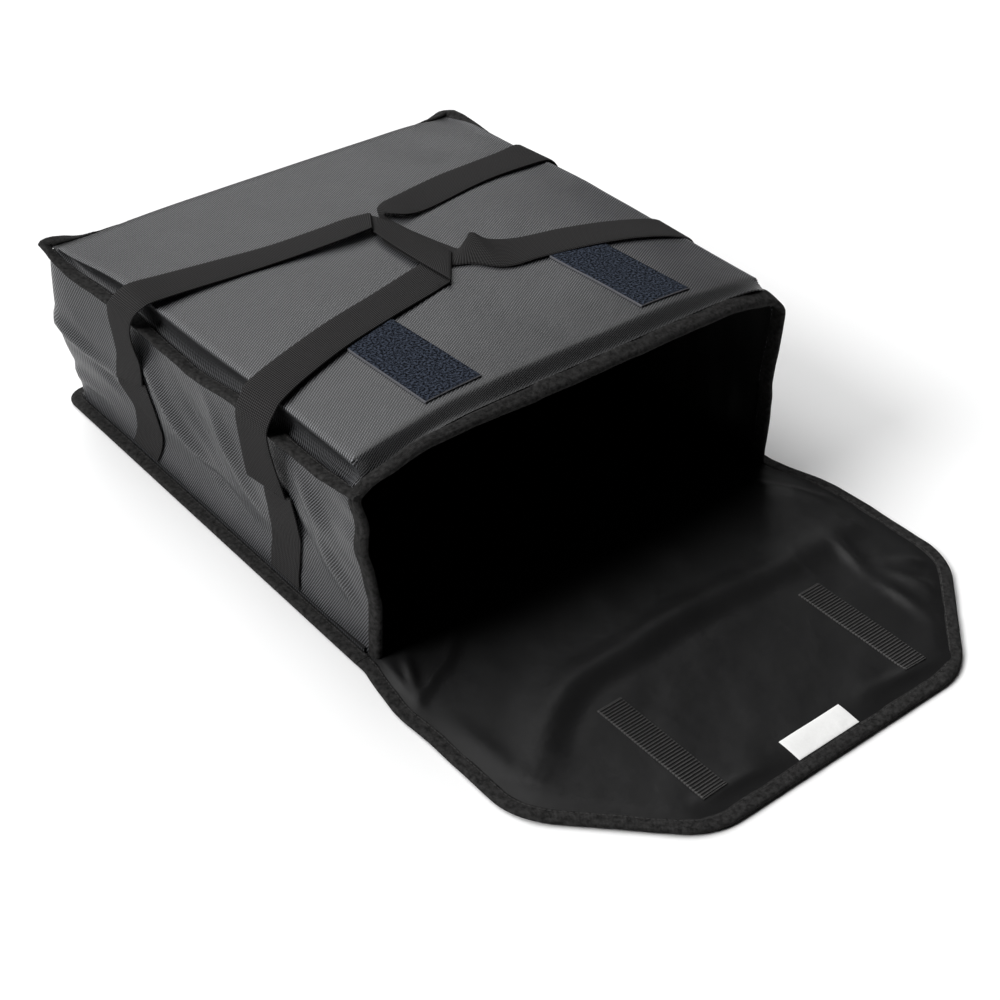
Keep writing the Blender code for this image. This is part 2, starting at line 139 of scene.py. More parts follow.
# The long fold across the flap and the hollow beside it, by x and the distance from the hinge
FLAP_RIDGE = (
    (0.195, 0.098),
    (0.120, 0.105),
    (0.047, 0.099),
    (-0.019, 0.096),
    (-0.058, 0.102),
    (-0.107, 0.101),
    (-0.139, 0.117),
    (-0.163, 0.136),
    (-0.195, 0.158),
)
FLAP_VALLEY = (
    (0.120, 0.118),
    (0.040, 0.114),
    (-0.030, 0.115),
    (-0.100, 0.117),
    (-0.130, 0.131),
    (-0.160, 0.152),
)
FLAP_COLUMNS = 151
FLAP_CELL = 0.003

# Soft folds, each its middle's two places, the angle of its run in degrees, its length, width and height.
# The walls' places are the distance along them from the left front corner and the height over the
# ground; the flap's are x and the distance from the hinge.
WALL_FOLDS = (
    (0.178, 0.103, 46, 0.034, 0.0075, 0.0056),
    (0.243, 0.073, 34, 0.042, 0.0080, 0.0064),
    (0.212, 0.092, 40, 0.040, 0.0095, -0.0038),
    (0.200, 0.045, 14, 0.034, 0.0055, -0.0040),
    (0.282, 0.104, 38, 0.026, 0.0085, 0.0034),
    (0.150, 0.066, 42, 0.030, 0.0090, 0.0028),
    (0.385, 0.080, 14, 0.042, 0.0075, 0.0052),
    (0.352, 0.056, 22, 0.030, 0.0065, -0.0036),
    (0.400, 0.030, 4, 0.040, 0.0080, 0.0036),
    (0.060, 0.108, 38, 0.032, 0.0085, 0.0048),
    (0.036, 0.062, 56, 0.040, 0.0080, 0.0040),
    (0.078, 0.074, 44, 0.035, 0.0080, -0.0030),
)
FLAP_FOLDS = (
    (-0.199, 0.026, 106, 0.022, 0.0040, 0.0034),
    (-0.190, 0.028, 119, 0.024, 0.0040, 0.0036),
    (-0.180, 0.038, 150, 0.024, 0.0045, 0.0030),
    (-0.150, 0.022, 140, 0.024, 0.0050, 0.0024),
    (-0.200, 0.110, 84, 0.034, 0.0100, 0.0014),
    (0.175, 0.179, 68, 0.020, 0.0055, 0.0018),
    (0.152, 0.188, 88, 0.022, 0.0060, 0.0022),
    (0.190, 0.160, 40, 0.016, 0.0050, 0.0015),
    (0.158, 0.126, 104, 0.022, 0.0060, 0.0020),
    (0.088, 0.243, 10, 0.026, 0.0050, 0.0018),
    (-0.085, 0.243, 6, 0.026, 0.0045, 0.0014),
    (0.185, 0.040, 60, 0.030, 0.0060, 0.0024),
)

# The stitches beside the middle of the tape: a stitch's share of the pitch, and its radii along it
STITCH_PLACE = 0.0032
STITCH_SHARE = 0.72
STITCH_RADII = (0.00012, 0.00026, 0.00026, 0.00012)

# The camera
CAMERA_PLACE = (-0.7493, -1.0096, 0.8880)
CAMERA_AIM = (-0.0532, -0.1828, 0.06)
CAMERA_ROLL = 1.47
CAMERA_LENS = 65.03

# Webbing, and the x and z of both ends of the bend at a handle's root
WEBBING_WIDTH = 0.035
WEBBING_STEP = 0.003
HANDLE_BEND = ((0.2125, 0.150), (0.195, 0.178))

# Stations of the webbing up the left wall, each the rear edge's x, y and z, then the front edge's
LEFT_REAR_FOOT = (
    (-0.1984, 0.1188, 0.0088, -0.1984, 0.0800, 0.0085),
    (-0.1967, 0.1142, 0.0197, -0.1967, 0.0750, 0.0191),
    (-0.1960, 0.1130, 0.0300, -0.1958, 0.0722, 0.0323),
    (-0.1967, 0.1132, 0.0425, -0.1967, 0.0705, 0.0480),
    (-0.1985, 0.1175, 0.0540, -0.1995, 0.0705, 0.0610),
    (-0.2003, 0.1220, 0.0640, -0.2012, 0.0740, 0.0710),
    (-0.2010, 0.1235, 0.0760, -0.2018, 0.0790, 0.0850),
)
LEFT_FRONT_FOOT = (
    (-0.1984, -0.0869, 0.0085, -0.1984, -0.1250, 0.0085),
    (-0.1965, -0.0856, 0.0230, -0.1965, -0.1232, 0.0220),
    (-0.1960, -0.0880, 0.0370, -0.1958, -0.1255, 0.0370),
    (-0.1979, -0.0915, 0.0510, -0.1980, -0.1310, 0.0540),
    (-0.2000, -0.0922, 0.0670, -0.2000, -0.1322, 0.0655),
    (-0.2013, -0.0905, 0.0800, -0.2013, -0.1308, 0.0790),
    (-0.2020, -0.0888, 0.0960, -0.2020, -0.1262, 0.0950),
)
LEFT_REAR_RISE = (
    (-0.2034, 0.1248, 0.0700, -0.2042, 0.0806, 0.0845),
    (-0.2042, 0.1220, 0.0830, -0.2052, 0.0778, 0.0960),
    (-0.2050, 0.1168, 0.0976, -0.2073, 0.0750, 0.1110),
    (-0.2074, 0.1135, 0.1116, -0.2098, 0.0753, 0.1218),
    (-0.2108, 0.1089, 0.1265, -0.2125, 0.0736, 0.1337),
    (-0.2141, 0.1047, 0.1409, -0.2145, 0.0698, 0.1453),
    (-0.2154, 0.1010, 0.1539, -0.2150, 0.0645, 0.1560),
    (-0.2140, 0.0955, 0.1625, -0.2135, 0.0595, 0.1640),
    (-0.2075, 0.0925, 0.1688, -0.2080, 0.0568, 0.1690),
    (-0.1980, 0.0930, 0.1706, -0.1990, 0.0570, 0.1706),
)
LEFT_FRONT_RISE = (
    (-0.2110, -0.0826, 0.0975, -0.2036, -0.1221, 0.0940),
    (-0.2115, -0.0800, 0.1100, -0.2052, -0.1190, 0.1060),
    (-0.2122, -0.0785, 0.1250, -0.2080, -0.1162, 0.1230),
    (-0.2133, -0.0780, 0.1390, -0.2105, -0.1150, 0.1400),
    (-0.2138, -0.0780, 0.1500, -0.2118, -0.1160, 0.1520),
    (-0.2132, -0.0800, 0.1600, -0.2098, -0.1178, 0.1615),
    (-0.2078, -0.0795, 0.1678, -0.2045, -0.1172, 0.1682),
    (-0.1990, -0.0752, 0.1706, -0.1960, -0.1135, 0.1720),
)

# The same for the webbing over the right edge of the lid and down the right wall
RIGHT_REAR_RISE = (
    (0.2022, 0.1150, 0.0800, 0.2022, 0.0760, 0.0800),
    (0.2040, 0.1080, 0.1100, 0.2050, 0.0690, 0.1100),
    (0.2060, 0.1030, 0.1400, 0.2080, 0.0610, 0.1400),
    (0.2055, 0.1010, 0.1520, 0.2082, 0.0575, 0.1520),
    (0.2020, 0.1015, 0.1612, 0.2048, 0.0590, 0.1618),
    (0.1950, 0.1035, 0.1658, 0.1975, 0.0618, 0.1668),
)
RIGHT_FRONT_RISE = (
    (0.2022, -0.0850, 0.0800, 0.2022, -0.1240, 0.0800),
    (0.2040, -0.0820, 0.1100, 0.2045, -0.1205, 0.1100),
    (0.2055, -0.0790, 0.1400, 0.2065, -0.1175, 0.1400),
    (0.2050, -0.0775, 0.1540, 0.2060, -0.1160, 0.1530),
    (0.2018, -0.0765, 0.1640, 0.2030, -0.1150, 0.1625),
    (0.1950, -0.0755, 0.1697, 0.1965, -0.1130, 0.1680),
)

# Stations over the lid: one edge's x, y and height over the lid, then the other edge's
LEFT_HANDLE = (
    (-0.1700, 0.0918, 0.0034, -0.1700, 0.0552, 0.0036),
    (-0.1250, 0.0858, 0.0012, -0.1250, 0.0512, 0.0016),
    (-0.0800, 0.0800, 0.0012, -0.0800, 0.0460, 0.0026),
    (-0.0350, 0.0755, 0.0022, -0.0385, 0.0410, 0.0052),
    (-0.0120, 0.0742, 0.0030, -0.0250, 0.0398, 0.0062),
    (0.0075, 0.0708, 0.0034, -0.0110, 0.0397, 0.0066),
    (0.0116, 0.0690, 0.0034, -0.0077, 0.0398, 0.0066),
    (0.0118, 0.0680, 0.0016, -0.0070, 0.0390, 0.0030),
    (0.0128, 0.0600, 0.0026, -0.0080, 0.0340, 0.0044),
    (0.0140, 0.0450, 0.0030, -0.0100, 0.0230, 0.0050),
    (0.0165, 0.0080, 0.0030, -0.0112, -0.0020, 0.0048),
    (0.0185, -0.0140, 0.0034, -0.0112, -0.0350, 0.0046),
    (0.0190, -0.0262, 0.0042, -0.0110, -0.0640, 0.0048),
    (0.0194, -0.0284, 0.0034, -0.0106, -0.0666, 0.0034),
    (0.0182, -0.0282, 0.0024, -0.0118, -0.0668, 0.0020),
    (0.0020, -0.0255, 0.0024, -0.0200, -0.0682, 0.0012),
    (-0.0200, -0.0298, 0.0014, -0.0310, -0.0712, 0.0012),
    (-0.0700, -0.0425, 0.0012, -0.0760, -0.0812, 0.0022),
    (-0.1200, -0.0550, 0.0024, -0.1260, -0.0932, 0.0030),
    (-0.1700, -0.0680, 0.0030, -0.1700, -0.1052, 0.0034),
)
RIGHT_HANDLE = (
    (0.1700, 0.0985, 0.0024, 0.1720, 0.0598, 0.0024),
    (0.1350, 0.0965, 0.0016, 0.1370, 0.0598, 0.0018),
    (0.1050, 0.0948, 0.0020, 0.1080, 0.0565, 0.0014),
    (0.0750, 0.0890, 0.0030, 0.0800, 0.0510, 0.0012),
    (0.0550, 0.0832, 0.0040, 0.0580, 0.0465, 0.0016),
    (0.0400, 0.0790, 0.0050, 0.0420, 0.0448, 0.0026),
    (0.0270, 0.0755, 0.0054, 0.0310, 0.0455, 0.0044),
    (0.0200, 0.0705, 0.0040, 0.0240, 0.0500, 0.0056),
    (0.0172, 0.0640, 0.0012, 0.0190, 0.0580, 0.0044),
    (0.0120, 0.0540, 0.0010, 0.0182, 0.0520, 0.0022),
    (0.0000, 0.0400, 0.0009, 0.0188, 0.0420, 0.0016),
    (-0.0092, 0.0200, 0.0009, 0.0200, 0.0250, 0.0012),
    (-0.0090, 0.0000, 0.0009, 0.0225, 0.0060, 0.0012),
    (-0.0080, -0.0240, 0.0009, 0.0262, -0.0140, 0.0014),
    (0.0050, -0.0420, 0.0010, 0.0285, -0.0280, 0.0030),
    (0.0230, -0.0530, 0.0012, 0.0345, -0.0290, 0.0105),
    (0.0345, -0.0690, 0.0014, 0.0400, -0.0290, 0.0140),
    (0.0460, -0.0760, 0.0016, 0.0490, -0.0370, 0.0082),
    (0.0700, -0.0800, 0.0020, 0.0720, -0.0445, 0.0040),
    (0.1100, -0.0888, 0.0026, 0.1100, -0.0520, 0.0030),
    (0.1450, -0.0975, 0.0026, 0.1450, -0.0608, 0.0024),
    (0.1750, -0.1065, 0.0024, 0.1750, -0.0698, 0.0022),
)


def rounded(points, radii, steps=8):
    """A path through the points, with the corners between its ends rounded to the radii."""
    path = [complex(*points[0])]
    for before, corner, after, radius in zip(points, points[1:], points[2:], radii):
        corner = complex(*corner)
        back, on = complex(*before) - corner, complex(*after) - corner
        back, on = back / abs(back), on / abs(on)
        half = abs(cmath.phase(on / back)) / 2
        centre = corner + (back + on) / abs(back + on) * radius / math.sin(half)
        arm = corner + back * radius / math.tan(half) - centre
        turn = cmath.phase((corner + on * radius / math.tan(half) - centre) / arm)
        path += [centre + arm * cmath.exp(1j * turn * i / steps) for i in range(steps + 1)]
    path.append(complex(*points[-1]))
    return np.array([(p.real, p.imag) for p in path])


def travelled(path):
    """How far along its length each point of a path lies."""
    steps = np.linalg.norm(np.diff(path, axis=0), axis=1)
    return np.concatenate(([0.0], np.cumsum(steps)))


def placed(path, places):
    """The points of a path at these distances along it."""
    along = travelled(path)
    return np.stack([np.interp(places, along, path[:, i]) for i in range(path.shape[1])], -1)


def resampled(path, step):
    """The same path with evenly spaced points."""
    length = travelled(path)[-1]
    return placed(path, np.linspace(0, length, max(2, round(length / step) + 1)))


def smoothed(path, times):
    """The path with its bends eased, its two ends kept."""
    for _ in range(times):
        path = np.concatenate((path[:1], (path[:-2] + 2 * path[1:-1] + path[2:]) / 4, path[-1:]))
    return path


def spline(stations, spacing):
    """A smooth line through stations, which are rows of numbers, with points about the spacing apart."""
    ends = np.concatenate((2 * stations[:1] - stations[1:2], stations, 2 * stations[-1:] - stations[-2:-1]))
    line = []
    for a, b, c, d in zip(ends, ends[1:], ends[2:], ends[3:]):
        count = max(3, math.ceil(np.linalg.norm((c - b)[:3]) / spacing))
        t = np.linspace(0, 1, count, endpoint=False)[:, None]
        bend = (2 * a - 5 * b + 4 * c - d) * t**2 + (3 * b - a - 3 * c + d) * t**3
        line.append((2 * b + (c - a) * t + bend) / 2)
    return np.concatenate(line + [stations[-1:]])


def unit(vectors):
    """The same directions with a length of 1."""
    return vectors / np.linalg.norm(vectors, axis=-1, keepdims=True)


def ease(value):
    """A soft step from 0 to 1 as a value goes from 0 to 1."""
    value = np.clip(value, 0, 1)
    return value * value * (3 - 2 * value)


def hump(value, middle, width):
    """A soft hump of height 1."""
    return np.exp(-(((value - middle) / width) ** 2))


def wander(along, wave, seed):
    """An irregular gentle line between about -1 and 1."""
    phases = np.random.default_rng(seed).uniform(0, 2 * math.pi, 3)
    turns = 2 * math.pi * np.asarray(along) / wave
    waves = np.sin(turns + phases[0]) + np.sin(1.7 * turns + phases[1]) / 1.7
    return (waves + np.sin(2.9 * turns + phases[2]) / 2.9) / 1.9


def folded(u, v, rows, height):
    """A sheet's height at (u, v) with the soft ridges of these rows added."""
    for place_u, place_v, angle, length, width, rise in rows:
        du, dv = u - place_u, v - place_v
        cos, sin = math.cos(math.radians(angle)), math.sin(math.radians(angle))
        ridge = rise * hump(dv * cos - du * sin, 0, width) * hump(du * cos + dv * sin, 0, length)
        height = height + ridge
    return height


def long_fold(u, v, points, width, height):
    """A soft ridge in a sheet along a line of points, dying out at its two ends."""
    line = smoothed(resampled(np.array(points), 0.006), 6)
    share = np.sin(np.linspace(0, math.pi, len(line))) ** 0.5
    gaps = np.hypot(u[..., None] - line[:, 0], v[..., None] - line[:, 1])
    return height * hump(gaps.min(axis=-1), 0, width) * share[gaps.argmin(axis=-1)]


def lowered(points, depth):
    """The same points, straight down by a depth."""
    return points - np.array((0, 0, depth))


def panel():
    """The sizes, colours and levels of the sidebar panel."""
    return bpy.context.scene.carry_bag


def mesh_piece(name, points, faces, flat, material, sharp=50):
    """A mesh object from points and faces, facing outward, with the flat cloth in metres as its UV map."""
    a, b, c, d = (points[faces[:, i]] for i in range(4))
    if (np.cross(a, b) * c).sum() + (np.cross(a, c) * d).sum() < 0:
        faces = faces[:, ::-1]
    mesh = bpy.data.meshes.new(name)
    mesh.from_pydata(points.tolist(), [], faces.tolist())
    mesh.uv_layers.new(name="Flat").data.foreach_set("uv", flat(faces).astype(np.float32).ravel())
    mesh.shade_smooth()
    mesh.set_sharp_from_angle(angle=math.radians(sharp))
    mesh.materials.append(get_material(material))
    piece = bpy.data.objects.new(name, mesh)
    bpy.context.scene.collection.objects.link(piece)
    return piece


def closed_sheet(name, upper, lower, flat, material, sharp=50):
    """A closed sheet between two grids of points, joined round their border."""
    rows, columns = upper.shape[:2]
    count = rows * columns
    index = np.arange(count).reshape(rows, columns)
    top = np.stack((index[:-1, :-1], index[1:, :-1], index[1:, 1:], index[:-1, 1:]), -1).reshape(-1, 4)
    border = np.concatenate((index[0, :-1], index[:-1, -1], index[-1, :0:-1], index[:0:-1, 0]))
    onward = np.roll(border, -1)
    sides = np.stack((border, onward, onward + count, border + count), -1)
    faces = np.concatenate((top, top[:, ::-1] + count, sides))
    points = np.concatenate((upper.reshape(-1, 3), lower.reshape(-1, 3)))
    cloth = np.tile(flat.reshape(-1, 2), (2, 1))
    return mesh_piece(name, points, faces, lambda ordered: cloth[ordered], material, sharp)


def band_profile(width, thickness, dome=0.0):
    """Points round a flat band with rounded edges and a slightly domed upper face."""
    rise = thickness / 2
    flats = np.linspace(-width / 2 + rise, width / 2 - rise, 7)
    turn = np.radians((-60, -30, 0, 30, 60))
    right = [(width / 2 - rise + rise * math.cos(a), rise * math.sin(a)) for a in turn]
    left = [(-x, -z) for x, z in right]
    lower = [(x, -rise) for x in flats]
    upper = [(x, rise + dome * (1 - (2 * x / width) ** 2)) for x in flats[::-1]]
    return np.array(lower + right + upper + left)


TAPE_PROFILE = band_profile(TAPE_WIDTH + 0.001, TAPE_THICKNESS, 0.0004)


def sweep(name, line, profile=TAPE_PROFILE):
    """A closed band of tape that carries a profile along a line of (centres, across, up)."""
    centres, across, up = line
    rings = centres[:, None] + across[:, None] * profile[None, :, :1] + up[:, None] * profile[None, :, 1:]
    along = travelled(centres)
    around = travelled(np.concatenate((profile, profile[:1])))
    count, sides = len(centres), len(profile)
    index = np.arange(count * sides).reshape(count, sides)
    onward = np.roll(index, -1, axis=1)
    walls = np.stack((index[:-1], index[1:], onward[1:], onward[:-1]), -1).reshape(-1, 4)
    pairs = [(i, i + 1, sides - 2 - i, sides - 1 - i) for i in range(sides // 2 - 1)]
    caps = [index[0][list(pair)] for pair in pairs] + [index[-1][list(pair)][::-1] for pair in pairs]
    faces = np.concatenate((walls, caps))

    def flat(ordered):
        u, v = along[ordered // sides], around[ordered % sides]
        wraps = np.ptp(v, axis=1, keepdims=True) > around[-1] / 2
        wraps[len(walls):] = False
        v = np.where(wraps & (v < around[-1] / 2), v + around[-1], v)
        return np.stack((u, v), -1)

    return mesh_piece(name, rings.reshape(-1, 3), faces, flat, "binding")


def finish_piece(piece, body, replaced=()):
    """Puts a piece on the body that it moves with; for a pair of bodies with a bend between them, it only
    bakes the piece's transform.
    """
    if isinstance(body, str):
        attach(piece, body)
    else:
        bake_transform(piece)
    if replaced:
        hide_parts(*replaced)


def bend_at(first, second, y):
    """Two bodies and the ends of the bend between them, across the flap."""
    return (first, second, (0, y + BEND_REACH, 0), (0, y - BEND_REACH, 0))


HINGE_BEND = bend_at("bag", "flap_front", HINGE_Y)
FOLD_BEND = bend_at("flap_front", "flap_tip", FOLD_Y)


def lid_share(x, power):
    """An arch over the lid's width, 1 in the middle and 0 at its sides, flatter with a higher power."""
    return 1 - np.minimum(1, np.abs(x) / HALF_WIDTH) ** power


def depth_share(y):
    """The share of the way from the lid's front to its rear."""
    return np.clip((y - BODY_FRONT) / (BODY_REAR - BODY_FRONT), 0, 1)


def corner_near(x, y, side, reach):
    """A soft hump at a rear corner of the lid."""
    return np.exp(-(((x - side * HALF_WIDTH) ** 2 + (y - BODY_REAR) ** 2) / reach**2))


def seam_level(x, y):
    """The height of the seam round the lid, which sags at the left and lifts at the rear corners."""
    side = np.clip(np.abs(x) / HALF_WIDTH, 0, 1) ** 6
    sag = 0.0045 * ease((y + 0.235) / 0.04) * ease((0.215 - y) / 0.06) + 0.0035 * hump(y, 0.0, 0.05)
    sag = sag - 0.0030 * hump(y, -0.065, 0.028)
    sag = sag * side * np.where(x < 0, 1.0, 0.25)
    lift = 0.0020 * corner_near(x, y, -1, 0.03) + 0.0010 * corner_near(x, y, 1, 0.03)
    return SEAM_HEIGHT - sag + lift + 0.0085 * hump(x, HALF_WIDTH, 0.03) * hump(y, BODY_FRONT, 0.03)


def side_bulge(x, y):
    """How far the lid's side edge and its seam stand out from a straight line."""
    left = 0.0015 * hump(y, 0.03, 0.07) + 0.0072 * hump(y, 0.195, 0.055)
    right = 0.0015 * hump(y, 0.0, 0.1) + 0.0030 * hump(y, 0.185, 0.035)
    return np.sign(x) * np.where(x < 0, left, right)


def lid_crest(x, y):
    """The lid's height on its soft top."""
    past = np.clip((y - 0.01) / 0.2, 0, 1)
    crown = LID_CROWN * lid_share(x, CROWN_POWER) * (1 - depth_share(y)) ** CROWN_FADE
    corner = 0.0045 * corner_near(x, y, -1, 0.065) + 0.0060 * corner_near(x, y, 1, 0.03)
    dip = 0.0018 * hump(y, 0.01, 0.06) * np.clip(-x / HALF_WIDTH, 0, 1) ** 4
    waves = 0.0009 * wander(x + 0.4 * y, 0.16, 3) * wander(y, 0.21, 4)
    return SEAM_HEIGHT + LID_RISE - REAR_FALL * past**1.2 + crown - corner - dip + waves


def lid_rim(x, y):
    """The height of the seam's level, carried on under the lid."""
    return seam_level(x, y) + MOUTH_ARCH * lid_share(x, MOUTH_POWER) * (1 - depth_share(y)) ** 2


def lid_lines(low, high, first, last):
    """Grid lines across the lid, their index from the nearer edge, and their places on the flat cloth."""
    count = round((high - last[-1] - low - first[-1]) / LID_CELL)
    middle = np.linspace(low + first[-1], high - last[-1], count + 1)[1:-1]
    places = np.concatenate((low + np.array(first), middle, high - np.array(last)[::-1]))
    rank = np.minimum(np.arange(len(places)), np.arange(len(places))[::-1])
    heights = np.interp(rank, np.arange(len(EDGE_SHARES)), EDGE_SHARES) * LID_RISE
    cloth = travelled(np.column_stack((places, heights)))
    return places, np.minimum(rank, len(EDGE_SHARES) - 1), cloth - cloth[-1] / 2


def lid_grids():
    """The lid cover's upper and lower points, its flat cloth, and its painted shade: how much darker its
    colour is made, below 0 a painted highlight.
    """
    xs, x_rank, x_cloth = lid_lines(-HALF_WIDTH, HALF_WIDTH, SIDE_PLACES, SIDE_PLACES)
    ys, y_rank, y_cloth = lid_lines(BODY_FRONT, BODY_REAR, FRONT_PLACES, REAR_PLACES)
    x, y = np.meshgrid(xs, ys, indexing="ij")
    side_rank, end_rank = np.meshgrid(x_rank, y_rank, indexing="ij")
    share = np.array(EDGE_SHARES)[np.minimum(side_rank, end_rank)]
    plain = HALF_WIDTH - np.interp(side_rank, range(len(SIDE_PLACES)), np.maximum.accumulate(SIDE_PLACES))
    plain = np.where(side_rank < len(SIDE_PLACES) - 1, np.sign(x) * plain, x)
    x = np.where(side_rank > end_rank, plain, x)
    corner = hump(np.abs(x), HALF_WIDTH, np.where(x < 0, 0.007, 0.03)) * ease((-0.15 - y) / 0.04)
    rim = lid_rim(x, y)
    z = rim + (lid_crest(x, y) - rim) * share
    full, foot = np.clip(share, 0, 1), np.clip(1 - share, 0, 1)
    y = y + corner * np.where(x < 0, 0.0115 * foot, 0.0060 * full)
    z = z - 0.0045 * foot * ease((-0.196 - y) / 0.010) * hump(x, -0.165, 0.035)
    x = x + side_bulge(x, y) * hump(np.abs(x), HALF_WIDTH, 0.05)
    upper = np.stack((x, y, z), -1)
    inset = 0.0045 * full
    depth = LID_EDGE + (LID_FOAM - LID_EDGE) * full
    lower = np.stack((x * (1 - inset / HALF_WIDTH), y * (1 - inset / BODY_REAR), z - depth), -1)
    flat = np.stack(np.meshgrid(x_cloth, y_cloth, indexing="ij"), -1)
    # Painted shade: the cloth's colour is darkened on the bands of the lid's sides, front and rear that lie
    # under its edge, with a painted highlight along the sides' top edge
    side_painted_shade = np.interp(side_rank, range(len(SIDE_PAINTED_SHADES)), SIDE_PAINTED_SHADES)
    end_painted_shade = np.interp(end_rank, (0, 3, 7, 9, 12), (0.92, 0.92, 0.92, 0.78, 0.0))
    band = np.where(side_rank <= end_rank, side_painted_shade, end_painted_shade)
    # Painted shade: darker towards the front, where the lid turns down
    front_painted_shade = 0.40 * ease((-0.11 - y) / 0.08) * ease((x + 0.18) / 0.14)
    band = band + front_painted_shade * (1 - np.clip(band, 0, 1))
    # Painted highlight: lighter down the ridge of each front corner of the lid
    corner_painted_highlight = np.exp(-(((np.abs(x) - HALF_WIDTH) ** 2 + (y + 0.198) ** 2) / 0.006**2))
    band = band * (1 - corner_painted_highlight) - 0.6 * corner_painted_highlight
    return upper, lower, flat, band


def build_lid():
    upper, lower, flat, band = lid_grids()
    cover = closed_sheet("lid_cover", upper, lower, flat, "coated_cloth", 70)
    # Stores the lid's painted shade and painted highlight on each point, for the cloth's colour
    shade = cover.data.attributes.new("painted_shade_and_highlight", "FLOAT", "POINT")
    shade.data.foreach_set("value", np.tile(band.ravel(), 2).astype(np.float32))
    finish_piece(cover, "bag", ("lid_outer_panel", "lid_foam_board"))
    face = lowered(lower * np.array((0.992, 0.992, 1)), 0.0004)
    back = lowered(face, panel().lining_thickness)
    lining = closed_sheet("lid_lining_sheet", face, back, flat, "lining", 70)
    finish_piece(lining, "bag", ("lid_lining",))


def wall_bow(x, y, z):
    """How far a side wall stands out: hollow near its foot, full above it, flared at the rear."""
    rise = np.sin(math.pi * np.clip(z / SEAM_HEIGHT, 0, 1)) ** 0.5
    swell = 0.0030 * hump(z, 0.088, 0.034) - 0.0040 * hump(z, 0.030, 0.020)
    flare = np.sin(math.pi * np.clip(z / 0.19, 0, 1)) * hump(y, BODY_REAR + 0.005, 0.065)
    bow = swell * rise + np.where(x < 0, 0.0105, 0.0035) * flare
    near = 1 - ease((y - BODY_FRONT) / 0.05)
    mouth = np.where(x < 0, np.interp(z, *LEFT_MOUTH), np.interp(z, *RIGHT_MOUTH))
    return bow * (1 - near) + mouth * near * ease((SEAM_HEIGHT + 0.001 - z) / 0.014)


def wall_reach(x, y, z):
    """How far from the middle the outer face of a side wall stands."""
    along = y - BODY_FRONT
    s = np.where(x < 0, along, travelled(wall_plan(0))[-1] - along)
    level = np.sin(math.pi * np.clip(z / SEAM_HEIGHT, 0, 1))
    return HALF_WIDTH + wall_bow(x, y, z) + wall_ridges(s, z) * level**0.5


def wall_top_drop(x, y):
    """How far the wall's upper end hangs below the seam's nominal height."""
    return SEAM_HEIGHT - seam_level(x, y)


def wall_ridges(s, z):
    """Soft folds in the outer cloth of the walls, by the distance along them from the left front corner."""
    height = folded(s, z, WALL_FOLDS, 0)
    slant = z * 0.82 - s * 0.57
    return 1.15 * height + 0.0011 * wander(slant, 0.045, 15) * wander(s + 0.5 * z, 0.19, 16)


def wall_plan(inset):
    """The walls in plan from the left front corner round the rear to the right front corner."""
    half, rear = HALF_WIDTH - inset, BODY_REAR - inset
    corners = ((-half, BODY_FRONT), (-half, rear), (half, rear), (half, BODY_FRONT))
    return rounded(corners, (CORNER_RADIUS - inset,) * 2)


def wall_surface(inset, ridge):
    """A grid of wall points from the left front corner round the rear, inset from the outer face."""
    plan = wall_plan(inset)
    places = np.linspace(0, travelled(plan)[-1], WALL_COLUMNS)
    plan = placed(plan, places)
    tangent = unit(np.gradient(plan, axis=0))
    outward = np.stack((-tangent[:, 1:], tangent[:, :1]), -1)[:, 0]
    middle = np.linspace(0.008, SEAM_HEIGHT - 0.008, WALL_ROWS)
    heights = np.concatenate(((0.0005, 0.004), middle, (SEAM_HEIGHT - 0.004, SEAM_HEIGHT - 0.0012)))
    s, z = np.meshgrid(places, heights, indexing="ij")
    sides = np.abs(outward[:, :1])
    level = np.sin(math.pi * z / SEAM_HEIGHT)
    rear = 0.003 * level + 0.0075 * level * hump(plan[:, :1], -HALF_WIDTH, 0.06)
    bow = wall_bow(plan[:, :1], plan[:, 1:], z) * sides + rear * (1 - sides)
    calm = ease(np.minimum(s, places[-1] - s) / 0.03)
    shift = ridge(s, z) * level**0.5 * calm + bow
    x, y = (plan[:, i : i + 1] + outward[:, i : i + 1] * shift for i in (0, 1))
    y = y + 0.0065 * hump(z, 0.149, 0.014) * ease(1 - s / 0.025)
    x = x + side_bulge(x, y) * sides * ease(z / SEAM_HEIGHT) ** 3
    drop = wall_top_drop(x, y) * sides * ease((z - 0.05) / (SEAM_HEIGHT - 0.05))
    return np.stack((x, y, z - drop), -1), np.stack((s, z), -1)


def wall_pleats(s, z):
    """How the wall lining stands off its board."""
    return 0.3 * wall_ridges(s, z) - 0.0014 - 0.0013 * wander(s + 0.12 * z, 0.055, 11)


def build_walls():
    outer, flat = wall_surface(0, wall_ridges)
    inner, _ = wall_surface(CLOTH + FOAM, lambda s, z: 0.3 * wall_ridges(s, z))
    turned = np.stack((flat[..., 1], -flat[..., 0]), -1)
    cover = closed_sheet("wall_cover", outer, inner, turned, "coated_cloth")
    replaced = ("gusset_outer_panel", "left_foam_board", "right_foam_board", "rear_foam_board")
    finish_piece(cover, "bag", replaced)
    face, flat = wall_surface(CLOTH + FOAM, wall_pleats)
    back, _ = wall_surface(CLOTH + FOAM, lambda s, z: wall_pleats(s, z) + panel().lining_thickness)
    lining = closed_sheet("wall_lining_sheet", back, face, flat, "lining")
    finish_piece(lining, "bag", ("gusset_lining",))
    length = travelled(wall_plan(0))[-1]


